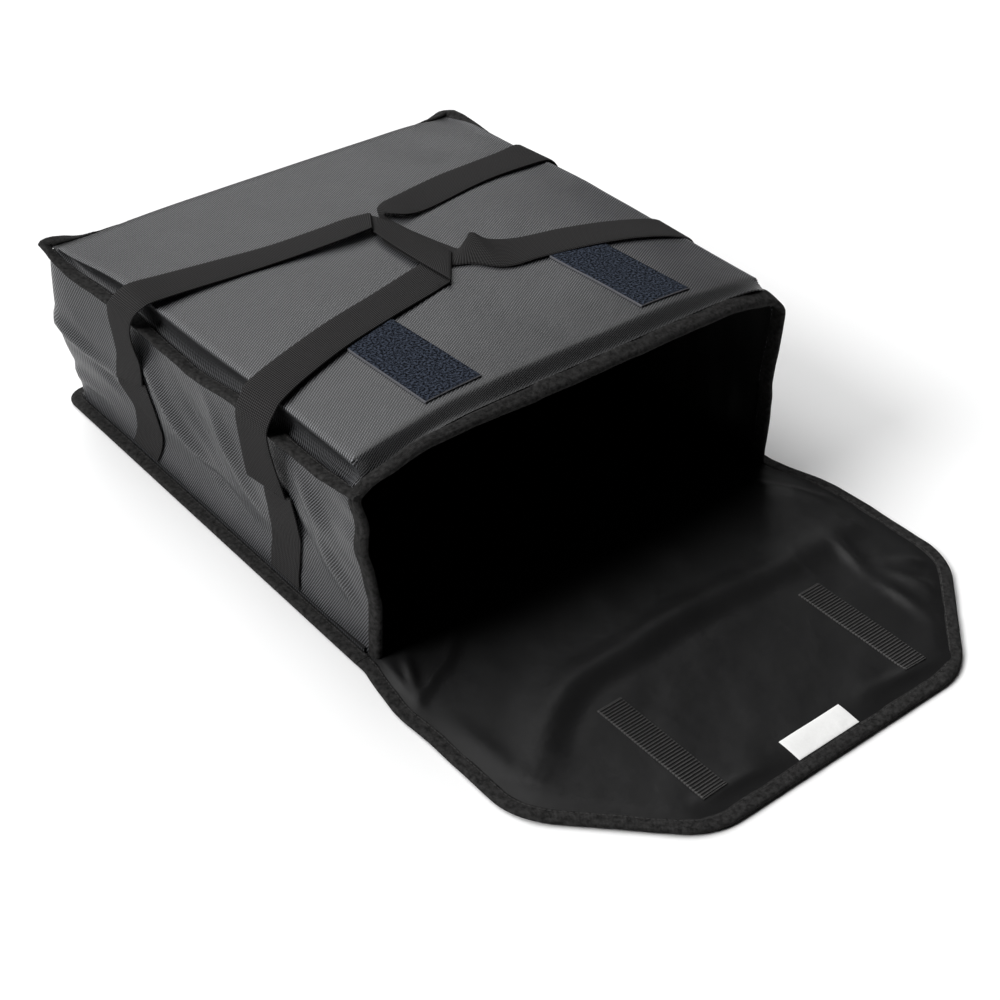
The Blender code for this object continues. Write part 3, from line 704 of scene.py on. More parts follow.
def build_base():
    xs = np.linspace(-HALF_WIDTH, HALF_WIDTH, 100)
    ys = np.linspace(HINGE_Y + FLAP_TUCK, BODY_REAR, 105)
    x, y = np.meshgrid(xs, ys, indexing="ij")
    flat = np.stack((x, y), -1)
    waves = wander(x + 0.3 * y, 0.12, 31) * wander(y, 0.15, 32) * ease((y - ys[0]) / 0.03)
    face = np.stack((x, y, 0.0060 + 0.0007 * waves), -1)
    back = lowered(face, panel().lining_thickness)
    lower = np.stack((x, y, np.zeros_like(x)), -1)
    cover = closed_sheet("base_cover", lowered(back, SHEET_GAP), lower, flat, "coated_cloth")
    finish_piece(cover, "bag", ("base_outer_panel", "base_foam_board"))
    lining = closed_sheet("base_lining_sheet", face, back, flat, "lining")
    finish_piece(lining, "bag", ("base_lining",))


def flap_outline(inset, steps=8):
    """The flap's right edge from before its hinge line to the middle of its tip, as (x, distance)."""
    cut = inset * math.tan(math.radians(22.5))
    points = (
        (TAPE_OUTER - inset, -FLAP_TUCK),
        (TAPE_OUTER - inset, 0),
        (FLAP_HALF - inset, FLARE_LENGTH),
        (FLAP_HALF - inset, FLAP_LENGTH - CORNER_CUT),
        (FLAP_HALF - CORNER_CUT - cut, FLAP_LENGTH - inset),
        (0, FLAP_LENGTH - inset),
    )
    return rounded(points, (0.04, FLARE_RADIUS, FLAP_RADIUS - inset, FLAP_RADIUS - inset), steps)


def flap_half_width(distance):
    """Half the flap's width at a distance from its hinge line."""
    outline = flap_outline(0)
    return np.interp(distance, outline[:, 1], outline[:, 0])


def flap_drift(distance):
    """How far to the right the flap lies at a distance from its hinge line."""
    return 0.005 * ease(distance / 0.09)


def flap_height(x, distance):
    """The height of the lining on the flap, with its folds and gathers."""
    edge = np.minimum(flap_half_width(distance) - np.abs(x), FLAP_LENGTH - distance)
    height = long_fold(x, distance, FLAP_RIDGE, 0.0155, 0.0040)
    height += long_fold(x, distance, FLAP_VALLEY, 0.0110, -0.0016)
    height = folded(x, distance, FLAP_FOLDS, height)
    height += 0.0005 * wander(x + 0.5 * distance, 0.11, 21) * wander(distance, 0.13, 22)
    calm = ease(edge / 0.025) * ease((distance + 0.02) / 0.03)
    return 0.0034 + 0.0026 * ease(edge / 0.03) + height * calm


def on_flap(x, y):
    """The flap's height at a place of the bag's frame."""
    return flap_height(x - flap_drift(HINGE_Y - y), HINGE_Y - y)


def flap_grid(start, end, offset):
    """Points of the flap between two distances from its hinge line, offset down from its lining's face."""
    distance = np.linspace(start, end, max(2, round((end - start) / FLAP_CELL)) + 1)
    u, d = np.meshgrid(np.linspace(-1, 1, FLAP_COLUMNS), distance, indexing="ij")
    tucked = HALF_WIDTH + (TAPE_OUTER - HALF_WIDTH) * ease(1 + d / FLAP_TUCK)
    x = u * (np.where(d < 0, tucked, flap_half_width(d)) - FLAP_INSET)
    z = np.maximum(flap_height(x, d) - offset, 0)
    return np.stack((x + flap_drift(d), HINGE_Y - d, z), -1), np.stack((x, -d), -1)


def flap_area(start, end):
    """The flat area of the flap's cloth between two distances."""
    reach = np.linspace(start, end, 80)
    return float((2 * (flap_half_width(reach) - FLAP_INSET)).mean() * (end - start))


def build_flap():
    parts = (
        ("flap_front", "flap", -FLAP_TUCK, FLAP_SPLIT, HINGE_BEND),
        ("flap_tip", "flap_tip", FLAP_SPLIT, FLAP_LENGTH - FLAP_INSET, FOLD_BEND),
    )
    for name, node, start, end, bend in parts:
        face, flat = flap_grid(start, end, 0)
        back, _ = flap_grid(start, end, panel().lining_thickness)
        low, _ = flap_grid(start, end, 1)
        cover = closed_sheet(name + "_cover", lowered(back, SHEET_GAP), low, flat, "coated_cloth")
        finish_piece(cover, bend, (node + "_outer_panel", node + "_foam_board"))
        lining = closed_sheet(name + "_lining_sheet", face, back, flat, "lining")
        finish_piece(lining, bend, (node + "_lining",))
        cut = (2 * (FLAP_HALF - FLAP_INSET), end - start)
        area = min(flap_area(start, end), cut[0] * cut[1])


def level_line(path):
    """A level path with its directions across, to its left, and up."""
    tangent = unit(np.gradient(path, axis=0))
    up = np.tile((0.0, 0.0, 1.0), (len(path), 1))
    return path, unit(np.cross(up, tangent)), up


def rim_plan(front, radius):
    """The middle of the tape round the walls in plan, from a front line on both sides."""
    rear = BODY_REAR + TAPE_WIDTH / 2
    corners = ((-TAPE_CENTRE, front), (-TAPE_CENTRE, rear), (TAPE_CENTRE, rear), (TAPE_CENTRE, front))
    return rounded(corners, (radius, radius))


def top_seam_line():
    """The flange of tape round the lid: level at the sides, tilted up at the rear corners, and wavering."""
    plan = rim_plan(BODY_FRONT, 0.005)
    path = resampled(np.column_stack((plan, np.zeros(len(plan)))), TAPE_STEP)
    along = travelled(path)
    _, across, up = level_line(path)
    x, y = path[:, 0], path[:, 1]
    near = np.exp(-(((x + TAPE_CENTRE) / 0.036) ** 2) - ((y - BODY_REAR) / 0.028) ** 2)
    far = np.exp(-(((x - TAPE_CENTRE) / 0.022) ** 2) - ((y - BODY_REAR) / 0.045) ** 2)
    rear = ease((y - BODY_REAR) / 0.005)
    tilt = 4 - 56 * rear + 8 * hump(y, 0.0, 0.05) + (34 + 34 * rear) * near + (20 + 22 * rear) * far
    tilt = tilt + 4 * wander(along, 0.09, 43) * (1 - rear)
    tilt = np.radians(tilt)[:, None]
    across, up = across * np.cos(tilt) + up * np.sin(tilt), up * np.cos(tilt) - across * np.sin(tilt)
    waver = 0.0005 * wander(along, 0.07, 41) + 0.0002 * wander(along, 0.019, 42)
    path = path + up * waver[:, None]
    path[:, 2] += seam_level(x, y) + 0.0008 - 0.0058 * rear * (1 - near) * (1 - far)
    pull = np.where(x < 0, 0.0024, 0.0080) * ease(1 - (y - BODY_FRONT) / 0.04)
    path[:, 0] += side_bulge(x, y) - np.sign(x) * pull
    return path, across, up


def bottom_seam_line():
    """The tape round the base, flat on the ground."""
    plan = rim_plan(HINGE_Y + FLAP_TUCK * 0.6, 0.012)
    height = np.full(len(plan), TAPE_THICKNESS / 2 + 0.0003)
    return level_line(resampled(np.column_stack((plan, height)), TAPE_STEP))


def build_seam_tapes():
    centres, across, up = top_seam_line()
    narrow = np.where(centres[:, 0] < 0, 0.30, 0.60)
    widths = 1 - narrow * ease(1 - (centres[:, 1] - BODY_FRONT) / 0.04)
    seam = sweep("top_seam_tape", (centres, across * widths[:, None], up))
    finish_piece(seam, "bag", ("top_seam_binding",))
    seam = sweep("bottom_seam_tape", bottom_seam_line())
    finish_piece(seam, "bag", ("bottom_seam_binding",))


def mouth_line():
    """The ring of tape round the mouth, from the lower left corner over the top to the lower right.

    It is widest at the upper right corner and narrowest along the left of the top, and its upper left
    corner is pulled back.
    """
    heights = np.arange(0.001, SEAM_HEIGHT - 0.008, 0.003)
    left = -HALF_WIDTH + 0.0020 - np.interp(heights, *LEFT_MOUTH)
    right = HALF_WIDTH - 0.0020 + np.interp(heights, *RIGHT_MOUTH)
    turn = np.radians(np.linspace(3, 177, 160))
    x = -np.sign(np.cos(turn)) * np.abs(np.cos(turn)) ** (2 / MOUTH_POWER)
    x = np.where(x < 0, -left[-1], right[-1]) * x
    z = SEAM_HEIGHT - 0.0040 + MOUTH_ARCH * lid_share(x, MOUTH_POWER)
    z = z + 0.0085 * hump(x, HALF_WIDTH - 0.004, 0.014)
    parts = ((left, heights), (x, z), (right[::-1], heights[::-1]))
    ring = smoothed(resampled(np.concatenate([np.column_stack(part) for part in parts]), TAPE_STEP), 4)
    y = np.full(len(ring), BODY_FRONT - TAPE_WIDTH / 2 + 0.0015)
    path = np.column_stack((ring[:, 0], y, ring[:, 1]))
    forward = np.tile((0.0, -1.0, 0.0), (len(path), 1))
    outward = unit(np.cross(forward, unit(np.gradient(path, axis=0))))
    top = np.clip(outward[:, 2:], 0, 1)
    lean = math.radians(18) * top
    across = forward * np.cos(lean) - outward * np.sin(lean)
    up = outward * np.cos(lean) + forward * np.sin(lean)
    waver = 0.0007 * wander(travelled(path), 0.06, 51)[:, None]
    wide = 0.4 * hump(path[:, :1], HALF_WIDTH, 0.02) * ease(top / 0.4)
    narrow = 0.30 * ease((-0.03 - path[:, :1]) / 0.10) * ease(top / 0.4)
    path = path - across * wide * TAPE_WIDTH / 2
    path[:, 1] += 0.0095 * hump(path[:, 0], -HALF_WIDTH - 0.004, 0.017) * hump(path[:, 2], 0.149, 0.013)
    path[:, 2] += 0.0030 * hump(path[:, 0], -0.187, 0.012) * hump(path[:, 2], 0.156, 0.012)
    return path + up * waver - outward * 0.0004 * top, across * (1 + wide - narrow), up


def build_mouth_tape():
    tape = sweep("mouth_tape", mouth_line(), band_profile(TAPE_WIDTH + 0.0025, 0.0056, 0.0004))
    finish_piece(tape, "bag", ("mouth_top_binding", "mouth_left_binding", "mouth_right_binding"))


def flap_edge(start, end):
    """The middle line of the tape on the flap's right edge between two distances, in plan."""
    path = resampled(flap_outline(TAPE_WIDTH / 2, 12), TAPE_STEP)
    along = travelled(path)
    low = np.interp(start, path[:, 1], along)
    high = along[-1] if end is None else np.interp(end, path[:, 1], along)
    return placed(path, np.linspace(low, high, max(2, round((high - low) / TAPE_STEP))))


def flap_tape_line(plan):
    """The line of a tape that lies on the ground over its middle line in plan."""
    height = np.full(len(plan), TAPE_THICKNESS / 2 + 0.0004)
    height += 0.0003 * (1 + wander(travelled(plan), 0.05, 61))
    x = plan[:, 0] + flap_drift(plan[:, 1])
    return level_line(np.column_stack((x, HINGE_Y - plan[:, 1], height)))


def flap_lines():
    """The lines of the flap's three tapes by name."""
    root = flap_edge(-0.010, FLAP_SPLIT)
    half = flap_edge(FLAP_SPLIT, None)
    ring = np.concatenate((half * np.array((-1, 1)), half[::-1][1:]))
    return {
        "flap_left": flap_tape_line(root * np.array((-1, 1))),
        "flap_right": flap_tape_line(root[::-1]),
        "flap_tip": flap_tape_line(ring),
    }


def build_flap_tapes():
    for name, line in flap_lines().items():
        tape = sweep(name + "_tape", line)
        finish_piece(tape, FOLD_BEND if name == "flap_tip" else HINGE_BEND, (name + "_binding",))


def mirrored(rows):
    """Stations of the left side's webbing, mirrored to the right side."""
    return tuple((-a, b, c, -d, e, f) for a, b, c, d, e, f in rows)


def over_lid(rows):
    """Stations over the lid with their heights over it turned into heights."""
    lifted = np.array(rows)
    for column in (0, 3):
        lifted[:, column + 2] += lid_crest(lifted[:, column], lifted[:, column + 1])
    return [tuple(row) for row in lifted]


def edges_swapped(rows):
    """Stations with their two edges the other way round."""
    return [row[3:] + row[:3] for row in rows]


def handle_stations():
    """The stations of both handles' webbing from rear end to front end, each both edges' x, y and z."""
    left = list(LEFT_REAR_RISE) + over_lid(LEFT_HANDLE) + list(LEFT_FRONT_RISE[::-1])
    right = list(RIGHT_REAR_RISE) + over_lid(RIGHT_HANDLE) + edges_swapped(RIGHT_FRONT_RISE[::-1])
    return np.array(left), np.array(right)


def off_cloth(middle):
    """The middle face of webbing, moved out where it would sink into a side wall or the lid."""
    x, y, z = (middle[..., i] for i in range(3))
    beside = (np.abs(x) > 0.19) & (z < 0.137)
    clear = np.sign(x) * np.maximum(np.abs(x), wall_reach(x, y, z) + 0.0013)
    above = np.maximum(z, lid_crest(x, y) + 0.0010)
    return np.stack((np.where(beside, clear, x), y, np.where(np.abs(x) < 0.185, above, z)), -1)


def webbing_grids(edges):
    """The two faces of webbing between edge lines, with thin rounded selvedges, and its flat cloth."""
    first, second = edges[:, None, :3], edges[:, None, 3:]
    shares = np.array((0, 0.012, 0.04, 0.2, 0.35, 0.5, 0.65, 0.8, 0.96, 0.988, 1))[None, :, None]
    middle = off_cloth(first + (second - first) * shares)
    run = np.gradient(middle, axis=0)
    side = np.gradient(middle, axis=1)
    normal = unit(np.cross(run, side))
    for _ in range(2):
        normal[1:-1] = unit(normal[:-2] + 2 * normal[1:-1] + normal[2:])
    thick = np.array((0.25, 0.7, 1, 1, 1, 1, 1, 1, 1, 0.7, 0.25)) * panel().webbing_thickness / 2
    lift = normal * thick[None, :, None]
    along = travelled(middle.mean(axis=1))
    flat = np.stack(np.broadcast_arrays(along[:, None], shares[:, :, 0] * WEBBING_WIDTH), -1)
    return middle + lift, middle - lift, flat


def build_handles():
    for side, sign, stations in zip(("left", "right"), (-1, 1), handle_stations()):
        upper, lower, flat = webbing_grids(spline(stations, WEBBING_STEP))
        band = closed_sheet(side + "_handle_webbing", upper, lower, flat, "webbing", 60)
        start, end = ((sign * x, 0, z) for x, z in HANDLE_BEND)
        finish_piece(band, ("bag", "handle_" + side, start, end), (side + "_handle",))


def build_straps():
    for end, rows in (("rear", LEFT_REAR_FOOT), ("front", LEFT_FRONT_FOOT)):
        for side, stations in (("left", rows), ("right", mirrored(rows))):
            upper, lower, flat = webbing_grids(spline(np.array(stations), WEBBING_STEP))
            strap = closed_sheet(side + "_" + end + "_webbing", upper, lower, flat, "webbing", 60)
            finish_piece(strap, "bag", (side + "_" + end + "_strap",))


def draped_patch(name, centre, size, lift, thickness, height, material):
    """A flat sewn piece that lies on a surface given by its height, with its border marked."""
    lines = [np.linspace(-s / 2, s / 2, max(2, round(s / 0.0035)) + 1) for s in size]
    rims = np.array((0.0, 0.0005, 0.0008))
    lines = [np.concatenate((line[0] + rims, line[1:-1], line[-1] - rims[::-1])) for line in lines]
    u, v = np.meshgrid(*lines, indexing="ij")
    x, y = centre[0] + u, centre[1] + v
    z = height(x, y) + lift
    edge = np.minimum(size[0] / 2 - np.abs(u), size[1] / 2 - np.abs(v))
    top = z + thickness * (0.6 + 0.4 * ease(edge / 0.0008))
    upper, lower = np.stack((x, y, top), -1), np.stack((x, y, z - 0.0004), -1)
    patch = closed_sheet(name, upper, lower, np.stack((u, v), -1), material)
    border = np.tile((edge < 0.0006).ravel(), 2).astype(np.float32)
    patch.data.attributes.new("Cut edge", "FLOAT", "POINT").data.foreach_set("value", border)
    return patch


def node_span(*nodes):
    """The middle and the size in plan of the space that these CAD nodes take together."""
    boxes = np.array([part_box(node) for node in nodes])
    low, high = boxes[:, 0].min(axis=0), boxes[:, 1].max(axis=0)
    return (low + high)[:2] / 2, (high - low)[:2]


def build_closures():
    for side in ("left", "right"):
        middle, size = node_span(side + "_loop_patch")
        patch = draped_patch(side + "_loop_pile", middle, size, 0.0002, 0.0016, lid_crest, "loop_pile")
        finish_piece(patch, "bag", (side + "_loop_patch",))
        nodes = (side + "_hook_strip", side + "_hook_strip_heel")
        middle, size = node_span(*nodes)
        middle[0] += flap_drift(0.2)
        strip = draped_patch(side + "_hook_tape", middle, size, 0.0001, 0.0013, on_flap, "hook_tape")
        finish_piece(strip, FOLD_BEND, nodes)


def build_tag():
    middle, size = node_span("sewn_tag")
    middle[0] += flap_drift(0.2)
    tag = draped_patch("bare_tag", middle, size, 0.0001, 0.0005, on_flap, "tag_cloth")
    finish_piece(tag, "flap_tip", ("sewn_tag",))


def stitches(name, line, aside, pitch, body, lift=0.0):
    """A row of thread stitches beside a tape's middle line, each a small closed spindle."""
    centres, across, up = line
    row = centres + across * aside + up * (TAPE_THICKNESS / 2 + 0.0002 + lift)
    along = travelled(row)
    places = np.arange(pitch, along[-1] - pitch, pitch)
    at = placed(row, places)
    up_at = unit(np.stack([np.interp(places, along, up[:, i]) for i in range(3)], -1))
    run_at = unit(placed(row, places + pitch / 4) - placed(row, places - pitch / 4))
    side_at = unit(np.cross(run_at, up_at))
    reach = np.array((-0.5, -0.36, 0.36, 0.5)) * pitch * STITCH_SHARE
    girth = np.array(STITCH_RADII)
    ring = np.array(((1, 0), (0, 1), (-1, 0), (0, -1)))
    points = (
        at[:, None, None]
        + run_at[:, None, None] * reach[None, :, None, None]
        + side_at[:, None, None] * (girth[:, None] * ring[:, 0])[None, :, :, None]
        + up_at[:, None, None] * (girth[:, None] * ring[:, 1])[None, :, :, None]
    )
    index = np.arange(16).reshape(4, 4)
    onward = np.roll(index, -1, axis=1)
    faces = np.stack((index[:-1], index[1:], onward[1:], onward[:-1]), -1).reshape(-1, 4)
    faces = np.concatenate((faces, index[:1], index[-1:, ::-1]))
    faces = (faces[None] + 16 * np.arange(len(places))[:, None, None]).reshape(-1, 4)

    def flat(ordered):
        return np.zeros(ordered.shape + (2,))

    finish_piece(mesh_piece(name, points.reshape(-1, 3), faces, flat, "thread"), body)


def build_stitches(pitch):
    stitches("top_seam_stitches", top_seam_line(), -STITCH_PLACE, pitch, "bag")
    stitches("bottom_seam_stitches", bottom_seam_line(), -STITCH_PLACE, pitch, "bag")
    stitches("mouth_stitches", mouth_line(), -STITCH_PLACE - 0.0003, pitch, "bag", 0.0003)
    for name, edge in flap_lines().items():
        bend = FOLD_BEND if name == "flap_tip" else HINGE_BEND
        stitches(name + "_stitches", edge, STITCH_PLACE, pitch, bend)


class Graph:
    """The nodes of one material, added in few words."""

    def __init__(self, name, roughness, specular):
        self.material = bpy.data.materials.new(name)
        self.material.use_nodes = True
        self.tree = self.material.node_tree
        self.shader = self.tree.nodes["Principled BSDF"]
        self.shader.inputs["Roughness"].default_value = roughness
        self.shader.inputs["Specular IOR Level"].default_value = specular
        uv = self.tree.nodes.new("ShaderNodeUVMap")
        uv.uv_map = "Flat"
        split = self.node("ShaderNodeSeparateXYZ", uv.outputs[0])
        self.uv, self.u, self.v = uv.outputs[0], split.outputs["X"], split.outputs["Y"]

    def node(self, kind, *values, **settings):
        node = self.tree.nodes.new(kind)
        for key, value in settings.items():
            setattr(node, key, value)
        for socket, value in zip(node.inputs, values):
            self.plug(socket, value)
        return node

    def plug(self, socket, value):
        if isinstance(value, bpy.types.NodeSocket):
            self.tree.links.new(value, socket)
        elif value is not None:
            socket.default_value = value

    def math(self, operation, *values):
        return self.node("ShaderNodeMath", *values, operation=operation).outputs[0]

    def wave(self, value, pitch):
        """A smooth wave from -1 to 1 that repeats over a pitch."""
        return self.math("COSINE", self.math("MULTIPLY", value, 2 * math.pi / pitch))

    def slanted(self, along, across, pitch):
        """A smooth wave over the flat cloth that climbs by these shares of its two directions."""
        climb = self.math("MULTIPLY", self.u, along)
        return self.wave(self.math("MULTIPLY_ADD", self.v, across, climb), pitch)

    def noise(self, size, detail=2.0, roughness=0.5):
        """Noise from 0 to 1 whose grains are about this size."""
        node = self.node("ShaderNodeTexNoise", noise_dimensions="3D")
        self.plug(node.inputs["Vector"], self.uv)
        self.plug(node.inputs["Scale"], 1 / size)
        self.plug(node.inputs["Detail"], detail)
        self.plug(node.inputs["Roughness"], roughness)
        return node.outputs["Fac"]

    def ramp(self, value, low, high, start=0.0, end=1.0):
        """The value carried from one range to another, and kept inside it."""
        return self.node("ShaderNodeMapRange", value, low, high, start, end).outputs[0]

    def attribute(self, name):
        """A number that the mesh's points hold."""
        return self.node("ShaderNodeAttribute", attribute_name=name).outputs["Fac"]

    def mixed(self, factor, dark, light):
        """A colour between two, each a colour or the socket of one."""
        node = self.tree.nodes.new("ShaderNodeMix")
        node.data_type = "RGBA"
        self.plug(node.inputs["Factor"], factor)
        for socket, value in (("A", dark), ("B", light)):
            plain = not isinstance(value, bpy.types.NodeSocket)
            self.plug(node.inputs[socket], (*value, 1) if plain else value)
        return node.outputs["Result"]

    def colour(self, factor, dark, light):
        self.plug(self.shader.inputs["Base Color"], self.mixed(factor, dark, light))

    def bump(self, *layers):
        """Stacks bump layers of (height, distance)."""
        last = None
        for height, distance in layers:
            node = self.node("ShaderNodeBump")
            self.plug(node.inputs["Height"], height)
            self.plug(node.inputs["Distance"], distance)
            self.plug(node.inputs["Normal"], last)
            last = node.outputs["Normal"]
        self.plug(self.shader.inputs["Normal"], last)


def shade(colour, level):
    """A colour from the panel, darker or lighter by a factor."""
    return tuple(channel * level for channel in colour)


def coated_cloth():
    """Grey coated cloth: a slanted weave with staggered dark pits, with the lid's painted shade and painted
    highlight in its tone.
    """
    grey, pitch = panel().cloth_colour, panel().weave_pitch
    graph = Graph("coated_cloth", 0.40, 0.35)
    strong = graph.slanted(0.5, -0.866, pitch)
    straight = graph.slanted(1.0, 0.0, pitch)
    weak = graph.slanted(0.5, 0.866, pitch)
    weave = graph.math("MULTIPLY_ADD", strong, 0.58, graph.math("MULTIPLY", straight, 0.26))
    weave = graph.math("MULTIPLY_ADD", weak, 0.16, weave)
    threads = graph.ramp(weave, -0.05, -0.42)
    # The lid's painted shade darkens the light threads and its painted highlight lightens them; the other
    # covers carry none
    band = graph.attribute("painted_shade_and_highlight")
    kept = graph.math("MULTIPLY_ADD", band, -0.45, 0.60)
    worn = graph.ramp(graph.noise(0.05, 3.0), 0.3, 0.7, 0.88, 1.0)
    tone = graph.math("MULTIPLY", graph.math("MULTIPLY", threads, kept), worn)
    graph.colour(tone, shade(grey, 0.02), shade(grey, 2.58))
    graph.bump((graph.noise(0.03), 0.0008), (threads, 0.00025))
    return graph.material


def lining():
    """Black satin lining, smooth and faintly creased."""
    black = panel().lining_colour
    graph = Graph("lining", 0.34, 0.20)
    creases = graph.noise(0.045, 3.0, 0.45)
    threads = graph.wave(graph.math("ADD", graph.u, graph.v), 0.0006)
    graph.colour(graph.noise(0.04), shade(black, 0.6), black)
    graph.bump((creases, 0.0011), (threads, 0.00002))
    return graph.material


def binding():
    """Black woven binding tape, ribbed across and slightly puckered."""
    black = panel().tape_colour
    graph = Graph("binding", 0.9, 0.08)
    ribs = graph.wave(graph.u, 0.0009)
    wear = graph.noise(0.004, 3.0, 0.65)
    graph.colour(graph.ramp(wear, 0.35, 0.65), shade(black, 0.40), shade(black, 1.25))
    graph.bump((graph.noise(0.007), 0.0011), (wear, 0.0004), (ribs, 0.00008))
    return graph.material


def webbing():
    """Black ribbed webbing: ribs along it and across it."""
    black = panel().webbing_colour
    graph = Graph("webbing", 0.9, 0.08)
    ribs = graph.wave(graph.v, 0.0017)
    cross = graph.wave(graph.u, 0.0017)
    weave = graph.math("ADD", ribs, cross)
    graph.colour(graph.ramp(weave, -1.4, 1.8), shade(black, 0.15), shade(black, 1.70))
    graph.bump((weave, 0.00014))
    return graph.material


def loop_pile():
    """Navy loop pile, matted and fuzzy, with a pale cut edge."""
    navy = panel().pile_colour
    graph = Graph("loop_pile", 0.95, 0.05)
    fuzz = graph.noise(0.0019, 3.0, 0.75)
    pile = graph.mixed(graph.ramp(fuzz, 0.44, 0.60), shade(navy, 0.06), shade(navy, 1.15))
    cut = graph.attribute("Cut edge")
    graph.colour(cut, pile, (0.11, 0.11, 0.12))
    graph.bump((graph.noise(0.003), 0.0006), (fuzz, 0.0008))
    return graph.material


def hook_tape():
    """Black hook tape: rows of small stiff hooks, with a lighter cut edge."""
    black = panel().tape_colour
    graph = Graph("hook_tape", 0.6, 0.15)
    rows = graph.math("MULTIPLY_ADD", graph.wave(graph.u, 0.0014), 0.35, graph.wave(graph.v, 0.0027))
    hooks = graph.math("MULTIPLY_ADD", graph.noise(0.0016, 3.0, 0.7), 2.4, graph.math("ADD", rows, -1.2))
    cut = graph.attribute("Cut edge")
    graph.colour(graph.math("ADD", graph.ramp(hooks, 0.1, 1.0), cut), shade(black, 0.35), shade(black, 3.0))
    graph.bump((hooks, 0.0006), (graph.noise(0.003), 0.0002))
    return graph.material


def tag_cloth():
    """White woven tag."""
    white = panel().tag_colour
    graph = Graph("tag_cloth", 0.7, 0.3)
    weave = graph.math("MULTIPLY", graph.wave(graph.u, 0.0006), graph.wave(graph.v, 0.0006))
    graph.colour(graph.noise(0.01), shade(white, 0.93), white)
    graph.bump((weave, 0.00004), (graph.noise(0.012), 0.0005))
    return graph.material


def thread():
    """Dark twisted thread."""
    black = panel().tape_colour
    graph = Graph("thread", 0.9, 0.05)
    graph.colour(graph.noise(0.01), shade(black, 2.0), shade(black, 3.0))
    return graph.material


MAKERS = {
    "coated_cloth": coated_cloth,
    "lining": lining,
    "binding": binding,
    "webbing": webbing,
    "loop_pile": loop_pile,
    "hook_tape": hook_tape,
    "tag_cloth": tag_cloth,
    "thread": thread,
}


def get_material(name):
    """The look of this name, made when it is first asked for."""
    look = bpy.data.materials.get(name + "_look") or MAKERS[name]()
    look.name = name + "_look"
    return look


def add_sun(name, direction, strength, softness):
    """A broad soft light that comes from a direction."""
    light = bpy.data.lights.new(name, "SUN")
    light.energy = strength
    light.angle = math.radians(softness)
    lamp = bpy.data.objects.new(name, light)
    lamp.rotation_euler = Vector(direction).to_track_quat("Z", "Y").to_euler()
    bpy.context.scene.collection.objects.link(lamp)


def add_world(level):
    """Soft light from all round at a level, with a white background behind the bag."""
    world = bpy.data.worlds.new("studio")
    bpy.context.scene.world = world
    world.use_nodes = True
    tree = world.node_tree
    background = tree.nodes["Background"]
    path = tree.nodes.new("ShaderNodeLightPath")
    seen = tree.nodes.new("ShaderNodeMath")
    seen.operation = "MAXIMUM"
    tree.links.new(path.outputs["Is Camera Ray"], seen.inputs[0])
    tree.links.new(path.outputs["Is Glossy Ray"], seen.inputs[1])
    mix = tree.nodes.new("ShaderNodeMix")
    tree.links.new(seen.outputs[0], mix.inputs["Factor"])
    mix.inputs["A"].default_value = level
    mix.inputs["B"].default_value = 1.0
    tree.links.new(mix.outputs["Result"], background.inputs["Strength"])


def build_stage(settings):
    bpy.ops.mesh.primitive_plane_add(size=30, location=(0, 0, -0.0005))
    floor = bpy.context.object
    floor.name = "floor"
    graph = Graph("floor", 0.9, 0.2)
    graph.plug(graph.shader.inputs["Base Color"], (0.95, 0.95, 0.95, 1))
    floor.data.materials.append(graph.material)
    add_world(settings.room_level)
    add_sun("overhead", (-0.20, 0.80, 1.25), settings.key_level, 55)
    add_sun("left_side", (-1.0, 0.35, 0.80), settings.side_level, 24)
    add_sun("far_side", (0.50, 0.87, 0.60), settings.far_level, 30)
    camera = bpy.data.objects.new("camera", bpy.data.cameras.new("camera"))
    camera.data.lens = CAMERA_LENS
    camera.data.sensor_width = 36
    camera.location = CAMERA_PLACE
    aim = Vector(CAMERA_AIM) - camera.location
    roll = Matrix.Rotation(math.radians(CAMERA_ROLL), 3, "Z")
    camera.rotation_euler = (aim.to_track_quat("-Z", "Y").to_matrix() @ roll).to_euler()
    bpy.context.scene.collection.objects.link(camera)
    bpy.context.scene.camera = camera
    bpy.context.scene.view_settings.view_transform = "Standard"


def colour_property(name, description, default):
    return FloatVectorProperty(
        name=name, description=description, default=default, size=3, min=0.0, max=1.0, subtype="COLOR"
    )


def size_property(name, description, default):
    shared = {"min": 0.0001, "precision": 5, "unit": "LENGTH", "subtype": "DISTANCE"}
    return FloatProperty(name=name, description=description, default=default, **shared)


def level_property(name, description, default):
    return FloatProperty(name=name, description=description, default=default, min=0.0)


class CarryBagSettings(bpy.types.PropertyGroup):
    """Sizes, colours and light levels that a user would change."""

    lining_thickness: size_property("Lining", "Thickness of the satin lining", 0.0006)
    webbing_thickness: size_property("Webbing", "Thickness of the handles and side straps", 0.0016)
    weave_pitch: size_property("Weave pitch", "Distance between rows of the coated cloth's weave", 0.00195)
    stitch_pitch: size_property("Stitch pitch", "Distance between stitches", 0.0036)
    cloth_colour: colour_property("Cloth", "Light threads of the grey coated cloth", (0.084, 0.0855, 0.091))
    lining_colour: colour_property("Lining", "Black satin lining", (0.0115, 0.0114, 0.0117))
    tape_colour: colour_property("Tape", "Black binding tape", (0.0270, 0.0265, 0.0263))
    webbing_colour: colour_property("Webbing", "Black webbing", (0.0305, 0.0297, 0.0299))
    pile_colour: colour_property("Loop pile", "Navy loop patches", (0.040, 0.049, 0.069))
    tag_colour: colour_property("Tag", "White tag", (0.88, 0.88, 0.87))
    room_level: level_property("Room level", "Strength of the light from all round", 0.14)
    key_level: level_property("Overhead level", "Strength of the overhead light", 2.5)
    side_level: level_property("Side level", "Strength of the light from the left", 2.2)
    far_level: level_property("Far level", "Strength of the light from behind", 0.5)


class PieceOperator:
    """What every step's operator shares"""

    bl_options = {"REGISTER", "UNDO"}


